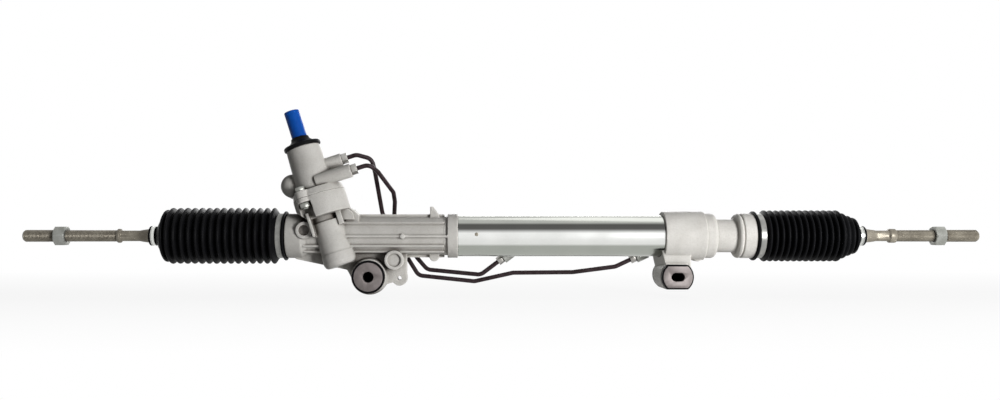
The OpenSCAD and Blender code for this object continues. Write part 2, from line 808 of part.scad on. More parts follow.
module cylinder_tube() {
    color("lightsteelblue") difference() {
        turned([[tube_bore_r, tube_left], [tube_step_r, tube_left], [tube_step_r, casting_end],
            [tube_r, casting_end], [tube_r, end_left], [tube_step_r, end_left],
            [tube_step_r, tube_right], [tube_bore_r, tube_right]]);
        for (x = [left_port[0], right_port[0]]) port_drill(x);
    }
}

// Round bar from the tube towards a port boss, between two distances from the rack axis
module port_stem(x, d0, d1, r) {
    translate([x, 0, rack_rise]) rotate([atan2(-tube_port_y, -tube_port_drop), 0, 0])
        translate([0, 0, d0]) cylinder(h = d1 - d0, r = r);
}

// Oil passage from a port boss into the tube
module port_drill(x) { port_stem(x, tube_bore_r - 3, norm([tube_port_y, tube_port_drop]), 2); }

// Frame of a port boss: Z runs from the pipe into the boss
module at_port(port) {
    translate([port[0], tube_port_y, tube_port_z]) rotate([0, 90 - port[1], 0]) children();
}

module tube_port_bosses() {
    color("silver") difference() {
        for (port = [left_port, right_port]) {
            at_port(port) translate([0, 0, -tube_port_low])
                cylinder(h = tube_port_low + tube_port_high, r = tube_port_r);
            port_stem(port[0], tube_r - 5, norm([tube_port_y, tube_port_drop]), 6.5);
        }
        rack_ring(casting_end, end_left, 0, tube_r);
        for (port = [left_port, right_port]) {
            at_port(port) translate([0, 0, -tube_port_low - 1])
                cylinder(h = tube_port_low + 3, r = tube_nut_r - 1.8);
            port_drill(port[0]);
        }
    }
}

// Neck of the right eye, with a slanted flank at its left
module right_neck() {
    difference() {
        translate([mount_span - 23, -eye_len / 2 + 2, 6]) cube([42, eye_len - 4, rack_rise - 14]);
        translate([mount_span - 16.4, -eye_len / 2 + 2, 26]) rotate([0, -12.65, 8])
            translate([-30, -60, -60]) cube([30, 120, 120]);
        rack_ring(end_left - 30, end_left, 0, tube_r + loose);
    }
}

module end_housing() {
    color("silver") difference() {
        union() {
            turned(concat([[0, end_left], [end_r - 0.6, end_left], [end_r, end_left + 0.6],
                [end_r, end_step], [end_step_r, end_step]],
                arc(end_step_r - 5, end_barrel - 5, 5, 0, 70, 5), [[end_barrel_r, end_barrel],
                [end_barrel_r, end_collar]],
                arc(end_step_r - 4.5, end_collar + 4.5, 4.5, -80, 0, 5),
                [[end_step_r, end_collar + 5.2], [end_step_r - 2, end_collar + 5.8],
                 [end_step_r - 2, end_collar + 7], [end_step_r, end_collar + 7.6],
                 [end_step_r, housing_right - spigot_len], [spigot_r, housing_right - spigot_len],
                 [spigot_r, housing_right],
                 [0, housing_right]]));
            flat_disc(-eye_len / 2, eye_len / 2, right_eye);
            right_neck();
            front_boss(end_step - 8, rack_rise - end_r + 4.5, -9, 9, 6);
        }
        rack_ring(end_left - 1, tube_right, 0, tube_step_r + seat);
        rack_ring(tube_right - 1, chamber_end, 0, tube_bore_r);
        rack_ring(chamber_end - 1, chamber_end + outer_seal_t, 0, outer_seal_r);
        rack_ring(chamber_end, chamber_end + outer_seal_t + rack_bush_t + 2, 0, rack_bush_r);
        rack_ring(chamber_end, housing_right + 1, 0, rack_bore_r);
        flat_disc(-eye_len, eye_len, right_bore);
    }
}

module inner_rack_seal() {
    color("black") rack_ring(tube_left - inner_seal_t, tube_left - 0.5, rack_r + running,
        inner_seal_r - seat);
}

module outer_rack_seal() {
    color("black") rack_ring(chamber_end + 0.5, chamber_end + outer_seal_t - 0.5, rack_r + running,
        outer_seal_r - seat);
}

module rack_bush() {
    color("darkgoldenrod") rack_ring(chamber_end + outer_seal_t, chamber_end + outer_seal_t + rack_bush_t,
        rack_r + running, rack_bush_r - seat);
}

module rack_bar() {
    color("silver") difference() {
        rack_ring(rack_left, rack_right, 0, rack_r);
        at_rack() translate([tower_x, 0, 0]) rotate([0, -tower_lean, 0])
            translate([0, 0, -comb_half]) linear_extrude(height = 2 * comb_half) tooth_comb();
        rack_ring(rack_left - 1, rack_left + stud_len + 2, 0, stud_r + seat);
        rack_ring(rack_right - stud_len - 2, rack_right + 1, 0, stud_r + seat);
    }
}

module piston() {
    color("gray") turned([[rack_r + seat, piston_x - piston_len / 2],
        [tube_bore_r - 0.3, piston_x - piston_len / 2], [tube_bore_r - 0.3, piston_x - 2],
        [tube_bore_r - 3, piston_x - 2], [tube_bore_r - 3, piston_x + 2],
        [tube_bore_r - 0.3, piston_x + 2], [tube_bore_r - 0.3, piston_x + piston_len / 2],
        [rack_r + seat, piston_x + piston_len / 2]]);
}

module piston_ring() {
    color("ivory") rack_ring(piston_x - 2 + seat, piston_x + 2 - seat, tube_bore_r - 3 + seat,
        tube_bore_r - 0.03);
}

// Pipes: each route is a list of corners, rounded to the bend radius

function unit(v) = v / norm(v);
function bend(a, b, c, n = 6) = let (p = unit(a - b), q = unit(c - b),
    half = acos(p * q) / 2, r = min(pipe_bend, 0.45 * min(norm(a - b), norm(c - b)) * tan(half)),
    m = b + unit(p + q) * r / sin(half), e = b + p * r / tan(half), f = b + q * r / tan(half),
    x = unit(e - m), y = unit((f - m) - ((f - m) * x) * x), turn = acos(-(p * q)))
    [for (i = [0:n]) m + r * (cos(turn * i / n) * x + sin(turn * i / n) * y)];
function rounded(route) = concat([route[0]],
    [for (i = [1:len(route) - 2]) each bend(route[i - 1], route[i], route[i + 1])],
    [route[len(route) - 1]]);

// Tube of round section along a list of points, with 10 sides
module sweep(points, r) {
    n = len(points);
    tangents = [for (i = [0:n - 1]) unit(points[min(i + 1, n - 1)] - points[max(i - 1, 0)])];
    side = [for (i = 0, s = unit(cross(tangents[0], [0, 1, 0.3])); i < n;
        i = i + 1, s = i < n ? unit(s - (s * tangents[i]) * tangents[i]) : s) s];
    rings = [for (i = [0:n - 1], k = [0:9])
        points[i] + r * (cos(k * 36) * side[i] + sin(k * 36) * cross(tangents[i], side[i]))];
    faces = concat([for (i = [0:n - 2], k = [0:9])
        [i * 10 + k, (i + 1) * 10 + k, (i + 1) * 10 + (k + 1) % 10, i * 10 + (k + 1) % 10]],
        [[for (k = [0:9]) k], [for (k = [9:-1:0]) (n - 1) * 10 + k]]);
    polyhedron(points = rings, faces = faces);
}

// A place in the tower frame, given in the row's frame
function from_tower(p) = let (
    x = tower_x + p[0] * cos(tower_lean) - p[2] * sin(tower_lean),
    y = p[1] - pinion_off,
    z = p[0] * sin(tower_lean) + p[2] * cos(tower_lean))
    [x, y * cos(tower_back) + z * sin(tower_back),
     rack_rise - y * sin(tower_back) + z * cos(tower_back)];

function port_at(p, u) = from_tower([u, p[1], p[2]]);
pipe_in = 3;
pipe_back = 36;

// A place on a port's axis, its distance measured from the boss towards the pipe
function on_port(port, d) = [port[0] - d * cos(port[1]), tube_port_y, tube_port_z - d * sin(port[1])];
pipe_seat = tube_port_low + pipe_nut_h - pipe_in;

right_route = [port_at(upper_port, port_end - pipe_in), port_at(upper_port, port_end + 20),
    [2, 0, 154], [6, 4, 136], [13, pipe_back, 82], [46, pipe_back, 24], [62, pipe_back, -2],
    [138, pipe_back, -10], [190, 30, 2], [270, 26, 3], on_port(right_port, 37),
    on_port(right_port, pipe_seat)];
left_route = [port_at(lower_port, lower_port_end - pipe_in), port_at(lower_port, lower_port_end + 24),
    [12, -20, 136], [30, 8, 110], [31, 20, 98], [29, pipe_back, 78], [60, pipe_back, 22],
    [74, pipe_back, 6], on_port(left_port, 44), on_port(left_port, pipe_seat)];

module right_chamber_pipe() { color([0.13, 0.1, 0.1]) sweep(rounded(right_route), pipe_r); }

module left_chamber_pipe() { color([0.13, 0.1, 0.1]) sweep(rounded(left_route), pipe_r); }

module pipe_nut(r) { hex_ring(pipe_nut_h, r, pipe_r + 0.15); }

module pipe_nuts() {
    color("gainsboro") {
        at_tower() {
            translate([port_end, upper_port[1], upper_port[2]]) rotate([0, 90, 0]) pipe_nut(pipe_nut_r);
            translate([lower_port_end, lower_port[1], lower_port[2]]) rotate([0, 90, 0])
                pipe_nut(pipe_nut_r);
        }
        for (port = [left_port, right_port]) at_port(port)
            translate([0, 0, -tube_port_low - pipe_nut_h]) pipe_nut(tube_nut_r);
    }
}

// Mounting bushes

plate_t = 3;
left_plate_r = 18.7;
left_rubber_r = 21.3;
shell_t = 1.5;
sleeve_t = 4;

module y_ring(x, y0, y1, r_in, r_out) {
    translate([x, y0, 0]) rotate([-90, 0, 0]) difference() {
        cylinder(h = y1 - y0, r = r_out);
        translate([0, 0, -1]) cylinder(h = y1 - y0 + 2, r = r_in);
    }
}

module left_bush_shell() {
    color("gray") y_ring(0, -eye_len / 2, eye_len / 2, eye_bore_r - shell_t, eye_bore_r - seat);
}

module left_bush_rubber() {
    color("black") {
        difference() {
            union() {
                front_boss(0, 0, -bush_len / 2 + 1, -eye_len / 2 - 0.05, left_rubber_r);
                front_boss(0, 0, eye_len / 2 + 0.05, bush_len / 2 - 1, left_rubber_r);
                front_boss(0, 0, -eye_len / 2 - 1, eye_len / 2 + 1, eye_bore_r - shell_t - seat);
            }
            front_boss(0, 0, -bush_len, bush_len, bolt_bore_r + sleeve_t + seat);
            for (s = [-1, 1]) front_boss(0, 0, s * (bush_len / 2 - plate_t / 2) - plate_t / 2 - seat,
                s * (bush_len / 2 - plate_t / 2) + plate_t / 2 + seat, left_plate_r + seat);
        }
    }
}

module left_bush_sleeve() {
    color("dimgray") difference() {
        union() {
            front_boss(0, 0, -bush_len / 2, bush_len / 2, bolt_bore_r + sleeve_t);
            front_boss(0, 0, -bush_len / 2, -bush_len / 2 + plate_t, left_plate_r);
            front_boss(0, 0, bush_len / 2 - plate_t, bush_len / 2, left_plate_r);
        }
        front_boss(0, 0, -bush_len, bush_len, bolt_bore_r);
    }
}

// Radius and half height of the flat-sided shapes: eye, bore, end plate and inner tube
right_eye = [21.2, 16.6];
right_bore = [18.2, 13.6];
right_plate = [18.8, 14.1];
right_tube = [slot_w / 2 + 3, slot_h / 2 + 3];

// Disc with flats above and below, its size as radius and half height
module flat_disc(y0, y1, size, grow = 0) {
    intersection() {
        front_boss(mount_span, 0, y0, y1, size[0] + grow);
        translate([mount_span - size[0] - grow - 1, y0 - 1, -size[1] - grow])
            cube([2 * (size[0] + grow + 1), y1 - y0 + 2, 2 * (size[1] + grow)]);
    }
}

module right_bush_shell() {
    color("gray") difference() {
        flat_disc(-eye_len / 2, eye_len / 2, right_bore, -seat);
        flat_disc(-eye_len / 2 - 1, eye_len / 2 + 1, right_bore, -shell_t);
    }
}

module right_bush_rubber() {
    color("black") difference() {
        union() {
            flat_disc(-bush_len / 2 + 1, -eye_len / 2 - 0.05, right_plate, 1.8);
            flat_disc(eye_len / 2 + 0.05, bush_len / 2 - 1, right_plate, 1.8);
            flat_disc(-eye_len / 2 - 1, eye_len / 2 + 1, right_bore, -shell_t - seat);
        }
        flat_disc(-bush_len, bush_len, right_tube, seat);
        for (s = [-1, 1]) flat_disc(s * (bush_len / 2 - plate_t / 2) - plate_t / 2 - seat,
            s * (bush_len / 2 - plate_t / 2) + plate_t / 2 + seat, right_plate, seat);
    }
}

module right_bush_sleeve() {
    color("dimgray") difference() {
        union() {
            flat_disc(-bush_len / 2, bush_len / 2, right_tube);
            flat_disc(-bush_len / 2, -bush_len / 2 + plate_t, right_plate);
            flat_disc(bush_len / 2 - plate_t, bush_len / 2, right_plate);
        }
        translate([mount_span - (slot_w - slot_h) / 2, -bush_len, -slot_h / 2])
            cube([slot_w - slot_h, 2 * bush_len, slot_h]);
        for (s = [-1, 1]) front_boss(mount_span + s * (slot_w - slot_h) / 2, 0, -bush_len, bush_len,
            slot_h / 2);
    }
}

// Bellows, from the housing outwards; s is the side, x0 the spigot face, x1 the small end

boot_neck_len = 10;
boot_neck_wall = 2.1;
boot_rod_r = 9.5;
big_neck_r = 27.2;
lip_r = 32.5;
lip_len = 3;
first_fold = 4;

// Folds; drop is how much each of the last two is smaller than the one before it
function zigzag(x_from, x_to, size, drop) = [for (k = [0:folds - 1]) each
    let (p = (x_to - x_from) / folds, r = size - drop * max(0, k - folds + 3))
        [[r, x_from + (k + 0.3) * p], [r, x_from + (k + 0.7) * p],
        [r - fold_depth, x_from + (k + 0.95) * p], [r - fold_depth, x_from + (k + 1.05) * p]]];

// Outer outline from the spigot's shoulder to the small end; last is the end of the folds
function bellows_outer(face, last, small, s, r, drop) = let (root = face - s * spigot_len,
    q = r - 2 * drop)
    concat([[lip_r, root + s * 0.2], [lip_r, root + s * lip_len], [big_neck_r, root + s * lip_len],
        [big_neck_r, face - s * (first_fold - 0.6)]], zigzag(face - s * first_fold, last, r, drop),
        [[q - 2.6, last + s * 2], [q - 4, last + s * 4.5], [q - 8, last + s * 6.5],
         [boot_rod_r + 4, small - s * (boot_neck_len + 1)],
         [boot_rod_r + boot_neck_wall, small - s * boot_neck_len],
         [boot_rod_r + boot_neck_wall, small]]);

function bellows_inner(face, last, small, s, r, drop) = let (root = face - s * spigot_len,
    q = r - 2 * drop - bellows_wall)
    concat([[spigot_r + running, root + s * 0.2], [spigot_r + running, face - s * first_fold]],
        [for (p = zigzag(face - s * first_fold, last, r, drop)) [p[0] - bellows_wall, p[1]]],
        [[q - 2.6, last + s * 1.6], [q - 4, last + s * 3.2], [q - 8, last + s * 4.6],
         [boot_rod_r + 1, small - s * (boot_neck_len + 2.6)],
         [boot_rod_r + running, small - s * boot_neck_len], [boot_rod_r + running, small]]);

function reversed(list) = [for (i = [len(list) - 1:-1:0]) list[i]];

module bellows(face, last, small, s, r, drop) {
    color([0.09, 0.09, 0.1]) turned(concat(bellows_outer(face, last, small, s, r, drop),
        reversed(bellows_inner(face, last, small, s, r, drop))));
}

left_small = ball_left - boot_out_left;
right_small = ball_right + boot_out_right;

left_last = left_small + 25.5;
right_last = right_small - 17.9;
right_drop = 3.6;

module left_bellows() { bellows(housing_left, left_last, left_small, -1, left_bellows_r, 0); }

module right_bellows() {
    bellows(housing_right, right_last, right_small, 1, right_bellows_r, right_drop);
}

clamp_t = 2.2;
clamp_w = 7.4;
clamp_in = 4.2;

module bellows_clamps() {
    color("silver") for (s = [-1, 1]) {
        x = s < 0 ? housing_left : housing_right;
        a = x - s * (spigot_len - clamp_in);
        b = a + s * clamp_w;
        rack_ring(min(a, b), max(a, b), big_neck_r + seat, big_neck_r + clamp_t);
        translate([min(a, b), big_neck_r + 1, rack_rise - 4]) cube([clamp_w, 4.5, 8]);
    }
}

module bellows_clip(small, s) {
    a = small - s * 1.8;
    b = small - s * 8.4;
    color("gainsboro") rack_ring(min(a, b), max(a, b), boot_rod_r + boot_neck_wall + seat,
        boot_rod_r + boot_neck_wall + 1.4);
}

module left_bellows_clip() { bellows_clip(left_small, -1); }

module right_bellows_clip() { bellows_clip(right_small, 1); }

// Ball joints and tie rods

module lock_washer(face, s) {
    color("gray") difference() {
        rack_ring(min(face, face + s * washer_t), max(face, face + s * washer_t), stud_r + seat, washer_r);
        for (k = [-1, 1]) translate([face + s * washer_t / 2 - washer_t, -5, rack_rise + k * 19 - 4])
            cube([2 * washer_t, 10, 8]);
    }
}

module left_lock_washer() { lock_washer(rack_left, -1); }

module right_lock_washer() { lock_washer(rack_right, 1); }

// Axis along +Z, ball centre at the origin, rod towards +Z
module ball_socket() {
    color("darkgray") difference() {
        union() {
            translate([0, 0, -ball_reach + washer_t]) cylinder(h = ball_reach - washer_t + socket_mouth,
                r = socket_r);
            translate([0, 0, -ball_reach - stud_len]) cylinder(h = stud_len + washer_t + 1, r = stud_r);
        }
        sphere(r = cavity_r);
        cylinder(h = 20, r1 = 0, r2 = 20 * tan(mouth_angle));
        for (k = [-1, 1]) translate([k * 19.5 - 4, -20, -ball_reach + washer_t - 1]) cube([8, 40, 9]);
    }
}

module ball_seat() {
    color("ivory") difference() {
        sphere(r = seat_r);
        sphere(r = ball_r + loose);
        cylinder(h = 20, r1 = 0, r2 = 20 * tan(seat_angle));
    }
}

shank_r = rod_r - 0.5;
thread_r = rod_r - 0.3;

// Distances run from the ball centre: boot seat, end of taper, end of neck, end of collar, tip;
// free is the thread outside the jam nut
module tie_rod(boot, taper, neck, collar, tip, free) {
    color("darkgray") {
        sphere(r = ball_r);
        rotate_extrude() polygon([[0, 5], [neck_r, 5], [neck_r, 14.5], [shank_r, 22], [shank_r, 36],
            [boot_rod_r, 40], [boot_rod_r, boot + 2], [7.6, taper - 2], [6.6, taper], [6.6, neck],
            [9.2, neck + 1], [9.2, collar - 1], [thread_r, collar], [thread_r, tip - free],
            [rod_r, tip - free], [rod_r, tip - 2], [rod_r - 2, tip],
            [0, tip]]);
    }
}

module on_ball(x, s) { translate([x, 0, rack_rise]) rotate([0, s * 90, 0]) children(); }

module left_ball_socket() { on_ball(ball_left, -1) ball_socket(); }

module right_ball_socket() { on_ball(ball_right, 1) ball_socket(); }

module left_ball_seat() { on_ball(ball_left, -1) ball_seat(); }

module right_ball_seat() { on_ball(ball_right, 1) ball_seat(); }

module left_tie_rod() {
    on_ball(ball_left, -1) tie_rod(boot_out_left, boot_out_left + 13.5, boot_out_left + 38.5,
        boot_out_left + 43.5, left_rod_len, left_free);
}

module right_tie_rod() {
    on_ball(ball_right, 1) tie_rod(boot_out_right, boot_out_right + 15.6, boot_out_right + 32.6,
        boot_out_right + 42, right_rod_len, right_free);
}

jam_t = 17;
jam_r = 14;

module left_jam_nut() {
    color("dimgray") on_ball(ball_left, -1) translate([0, 0, left_rod_len - left_free - jam_t])
        hex_ring(jam_t, jam_r, thread_r + seat);
}

module right_jam_nut() {
    color("gray") on_ball(ball_right, 1) translate([0, 0, right_rod_len - right_free - jam_t])
        hex_ring(jam_t, jam_r, thread_r + seat);
}

rack_housing();
pinion_lower_bearing();
pinion_end_plug();
upper_bearing_outer_ring();
upper_bearing_balls();
upper_bearing_inner_ring();
pinion();
pinion_nut();
pinion_oil_seal();
valve_housing();
valve_housing_o_ring();
valve_housing_bolts();
valve_housing_nuts();
valve_sleeve();
valve_sleeve_rings();
input_shaft();
torsion_bar();
torsion_bar_pin();
input_needle_bearing();
input_oil_seal();
input_snap_ring();
dust_cover();
shaft_cap();
rack_guide();
guide_spring();
guide_plug();
guide_lock_nut();
cylinder_tube();
tube_port_bosses();
end_housing();
inner_rack_seal();
outer_rack_seal();
rack_bush();
rack_bar();
piston();
piston_ring();
right_chamber_pipe();
left_chamber_pipe();
pipe_nuts();
left_bush_shell();
left_bush_rubber();
left_bush_sleeve();
right_bush_shell();
right_bush_rubber();
right_bush_sleeve();
left_bellows();
right_bellows();
bellows_clamps();
left_bellows_clip();
right_bellows_clip();
left_lock_washer();
right_lock_washer();
left_ball_socket();
right_ball_socket();
left_ball_seat();
right_ball_seat();
left_tie_rod();
right_tie_rod();
left_jam_nut();
right_jam_nut();
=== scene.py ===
"""Looks of a hydraulic rack and pinion steering gear, built round its packed construction model.

Everything is in metres in the frame of the construction model: X along the rack, +Z up, the viewer at -Y.
New shapes are written in millimetres and scaled once, in new_piece().
"""
import json
import math

import bmesh
import bpy
from mathutils import Matrix, Vector, noise


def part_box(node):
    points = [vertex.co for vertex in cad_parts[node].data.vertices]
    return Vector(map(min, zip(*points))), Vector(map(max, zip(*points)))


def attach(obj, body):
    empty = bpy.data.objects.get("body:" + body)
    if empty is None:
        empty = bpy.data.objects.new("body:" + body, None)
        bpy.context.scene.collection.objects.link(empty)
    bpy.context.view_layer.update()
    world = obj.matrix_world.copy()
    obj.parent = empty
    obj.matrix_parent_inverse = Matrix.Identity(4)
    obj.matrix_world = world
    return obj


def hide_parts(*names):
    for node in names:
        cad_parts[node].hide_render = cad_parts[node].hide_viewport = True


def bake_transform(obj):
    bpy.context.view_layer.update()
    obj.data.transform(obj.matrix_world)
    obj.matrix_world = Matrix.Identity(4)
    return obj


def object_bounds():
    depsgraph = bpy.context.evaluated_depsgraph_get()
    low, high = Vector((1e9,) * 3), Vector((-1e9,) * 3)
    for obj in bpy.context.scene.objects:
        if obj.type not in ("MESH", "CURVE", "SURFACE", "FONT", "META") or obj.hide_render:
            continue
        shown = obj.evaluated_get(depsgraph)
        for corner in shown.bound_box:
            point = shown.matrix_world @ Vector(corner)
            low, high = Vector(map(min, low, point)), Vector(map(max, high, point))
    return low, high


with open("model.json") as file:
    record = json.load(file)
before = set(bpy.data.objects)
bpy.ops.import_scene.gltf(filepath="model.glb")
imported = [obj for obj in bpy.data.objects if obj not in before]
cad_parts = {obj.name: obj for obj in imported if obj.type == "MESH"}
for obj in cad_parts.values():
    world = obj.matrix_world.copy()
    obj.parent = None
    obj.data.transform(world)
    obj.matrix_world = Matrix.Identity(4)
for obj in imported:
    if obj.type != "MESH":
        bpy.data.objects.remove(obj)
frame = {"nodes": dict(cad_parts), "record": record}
cad_low, cad_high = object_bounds()

MM = 0.001
SCALE = Matrix.Scale(MM, 4)

# Frames of the construction model, in millimetres
RACK_RISE = 52.5
TOWER_X = -50.5
TOWER_LEAN = 18.0
TOWER_BACK = 4.0
PINION_OFF = 16.04
LEANED = Matrix.Translation((0, 0, RACK_RISE)) @ Matrix.Rotation(math.radians(-TOWER_BACK), 4, "X")
TOWER = (LEANED @ Matrix.Translation((TOWER_X, -PINION_OFF, 0))
         @ Matrix.Rotation(math.radians(-TOWER_LEAN), 4, "Y"))
AXIS_X = Matrix(((0, 0, 1, 0), (0, 1, 0, 0), (-1, 0, 0, 0), (0, 0, 0, 1)))
ALONG_RACK = Matrix.Translation((0, 0, RACK_RISE)) @ AXIS_X

# Centres of the ball joints along the rack, and the small ends of the bellows, measured from them
LEFT_BALL_X = -233.0
RIGHT_BALL_X = 593.5
LEFT_BOOT = 56.5
RIGHT_BOOT = 56.9

# Middle of the right bush; the left one is the origin
RIGHT_BUSH_X = 398.8


# Node helpers

def add(tree, kind, **values):
    """New shader node with the given properties."""
    made = tree.nodes.new(kind)
    for key, value in values.items():
        setattr(made, key, value)
    return made


def noise_node(tree, coordinates, scale, detail=3.0, roughness=0.5):
    """Noise texture over object coordinates; scale is in features per metre."""
    made = add(tree, "ShaderNodeTexNoise")
    made.inputs["Scale"].default_value = scale
    made.inputs["Detail"].default_value = detail
    made.inputs["Roughness"].default_value = roughness
    tree.links.new(coordinates, made.inputs["Vector"])
    return made.outputs["Fac"]


def ramp_node(tree, source, stops):
    """Colour ramp through (place, colour) stops."""
    made = add(tree, "ShaderNodeValToRGB")
    elements = made.color_ramp.elements
    while len(elements) < len(stops):
        elements.new(0.5)
    for element, (place, colour) in zip(elements, stops):
        element.position = place
        element.color = (*colour, 1.0)
    tree.links.new(source, made.inputs["Fac"])
    return made.outputs["Color"]


def range_node(tree, source, low, high, from_low=0.3, from_high=0.7):
    """Value mapped to a range."""
    made = add(tree, "ShaderNodeMapRange")
    made.inputs["From Min"].default_value = from_low
    made.inputs["From Max"].default_value = from_high
    made.inputs["To Min"].default_value = low
    made.inputs["To Max"].default_value = high
    tree.links.new(source, made.inputs["Value"])
    return made.outputs["Result"]


def mix_node(tree, factor, first, second, mode="MIX"):
    """Two colours mixed; factor is a number or a socket."""
    made = add(tree, "ShaderNodeMix", data_type="RGBA", blend_type=mode)
    if isinstance(factor, float):
        made.inputs[0].default_value = factor
    else:
        tree.links.new(factor, made.inputs[0])
    for socket, value in ((made.inputs[6], first), (made.inputs[7], second)):
        if isinstance(value, tuple):
            socket.default_value = (*value, 1.0)
        else:
            tree.links.new(value, socket)
    return made.outputs[2]


def bump_node(tree, height, distance, strength=1.0, below=None):
    """Bump from a height, in metres, on top of another bump."""
    made = add(tree, "ShaderNodeBump")
    made.inputs["Strength"].default_value = strength
    made.inputs["Distance"].default_value = distance
    tree.links.new(height, made.inputs["Height"])
    if below is not None:
        tree.links.new(below, made.inputs["Normal"])
    return made.outputs["Normal"]


def start_material(name):
    """Empty material with a Principled shader; gives the material, tree, shader and object coordinates."""
    material = bpy.data.materials.new(name)
    material.use_nodes = True
    tree = material.node_tree
    shader = tree.nodes["Principled BSDF"]
    place = add(tree, "ShaderNodeTexCoord")
    return material, tree, shader, place.outputs["Object"]


def pointiness(tree):
    """How sharp the surface is at a point: above 0.5 on ridges and below in grooves."""
    return add(tree, "ShaderNodeNewGeometry").outputs["Pointiness"]


def occlusion(tree, distance):
    """How open the surface is to its surroundings, within a distance in metres."""
    made = add(tree, "ShaderNodeAmbientOcclusion", samples=8)
    made.inputs["Distance"].default_value = distance
    return made.outputs["AO"]


# Materials

def cast_aluminium():
    """Sand-cast alloy: warm light grey, fine grain, painted shade in corners, wear and painted highlight
    on edges.
    """
    material, tree, shader, place = start_material("cast_aluminium")
    cloud = noise_node(tree, place, 38.0, 4.0)
    base = ramp_node(tree, cloud, [(0.3, (0.52, 0.505, 0.475)), (0.7, (0.62, 0.605, 0.575))])
    speck = noise_node(tree, place, 950.0, 2.0)
    specks = ramp_node(tree, speck, [(0.34, (0.74, 0.73, 0.71)), (0.5, (1.0, 1.0, 1.0))])
    base = mix_node(tree, 0.5, base, specks, "MULTIPLY")
    # Pointiness: wear with a painted highlight on ridges and edges, painted shade in grooves.
    edge_wear_sheen_and_groove_shade = ramp_node(tree, pointiness(tree), [(0.43, (0.50, 0.48, 0.45)), (0.5, (1.0, 1.0, 1.0)),
                                              (0.57, (1.25, 1.25, 1.25))])
    base = mix_node(tree, 1.0, base, edge_wear_sheen_and_groove_shade, "MULTIPLY")
    # Occlusion darkens the base colour: painted shade in corners and recesses.
    painted_recess_shade = ramp_node(tree, occlusion(tree, 0.016), [(0.25, (0.22, 0.20, 0.185)), (0.8, (1.0, 1.0, 1.0))])
    base = mix_node(tree, 1.0, base, painted_recess_shade, "MULTIPLY")
    tree.links.new(base, shader.inputs["Base Color"])
    tree.links.new(range_node(tree, cloud, 0.34, 0.46), shader.inputs["Roughness"])
    grain = bump_node(tree, speck, 0.00018, 0.7)
    tree.links.new(bump_node(tree, noise_node(tree, place, 220.0, 3.0), 0.0005, 0.6, grain),
                   shader.inputs["Normal"])
    shader.inputs["Metallic"].default_value = 0.0
    shader.inputs["Specular IOR Level"].default_value = 0.03
    return material


def drawn_steel():
    """Drawn cylinder tube: polished, with a painted reflection: a bright strip at its front and a dark one
    above it.
    """
    material, tree, shader, place = start_material("drawn_tube")
    cloud = noise_node(tree, place, 30.0, 4.0)
    split = add(tree, "ShaderNodeSeparateXYZ")
    tree.links.new(place, split.inputs[0])
    front = add(tree, "ShaderNodeMath", operation="MULTIPLY")
    front.inputs[1].default_value = -1.0
    tree.links.new(split.outputs["Y"], front.inputs[0])
    rise = add(tree, "ShaderNodeMath", operation="SUBTRACT")
    rise.inputs[1].default_value = RACK_RISE * MM
    tree.links.new(split.outputs["Z"], rise.inputs[0])
    angle = add(tree, "ShaderNodeMath", operation="ARCTAN2")
    tree.links.new(rise.outputs[0], angle.inputs[0])
    tree.links.new(front.outputs[0], angle.inputs[1])
    turned = range_node(tree, angle.outputs[0], 0.0, 1.0, -math.pi, math.pi)
    # Painted reflection: a bright strip at the front and a dark strip above it, by the angle round the
    # axis.
    painted_reflection_bands = ramp_node(tree, turned, [
        (0.0, (0.40, 0.41, 0.38)), (0.422, (0.40, 0.42, 0.38)), (0.440, (0.80, 0.81, 0.78)),
        (0.525, (0.84, 0.85, 0.83)), (0.556, (0.10, 0.10, 0.095)), (0.594, (0.09, 0.09, 0.085)),
        (0.612, (0.42, 0.43, 0.40)), (1.0, (0.42, 0.43, 0.40))])
    tint = ramp_node(tree, cloud, [(0.3, (0.93, 0.93, 0.93)), (0.7, (1.0, 1.0, 1.0))])
    tree.links.new(mix_node(tree, 1.0, painted_reflection_bands, tint, "MULTIPLY"), shader.inputs["Base Color"])
    stretch = add(tree, "ShaderNodeMapping")
    stretch.inputs["Scale"].default_value = (1.0, 0.02, 0.02)
    tree.links.new(place, stretch.inputs["Vector"])
    marks = noise_node(tree, stretch.outputs["Vector"], 2600.0, 2.0)
    tree.links.new(range_node(tree, cloud, 0.16, 0.22), shader.inputs["Roughness"])
    tree.links.new(bump_node(tree, marks, 0.000010, 0.4), shader.inputs["Normal"])
    shader.inputs["Metallic"].default_value = 1.0
    return material


def machined_steel(name, dark, light, rough=(0.25, 0.4), metal=1.0):
    """Turned steel: bare or plated, with a slight stain and painted shade in its corners."""
    material, tree, shader, place = start_material(name)
    cloud = noise_node(tree, place, 90.0, 4.0)
    base = ramp_node(tree, cloud, [(0.32, dark), (0.68, light)])
    # Occlusion darkens the base colour: painted shade in corners.
    painted_recess_shade = ramp_node(tree, occlusion(tree, 0.006), [(0.3, (0.25, 0.24, 0.23)), (0.8, (1.0, 1.0, 1.0))])
    tree.links.new(mix_node(tree, 1.0, base, painted_recess_shade, "MULTIPLY"), shader.inputs["Base Color"])
    tree.links.new(range_node(tree, cloud, *rough), shader.inputs["Roughness"])
    fine = noise_node(tree, place, 1500.0, 2.0)
    tree.links.new(bump_node(tree, fine, 0.00003, 0.5), shader.inputs["Normal"])
    shader.inputs["Metallic"].default_value = metal
    shader.inputs["Specular IOR Level"].default_value = 0.1
    return material


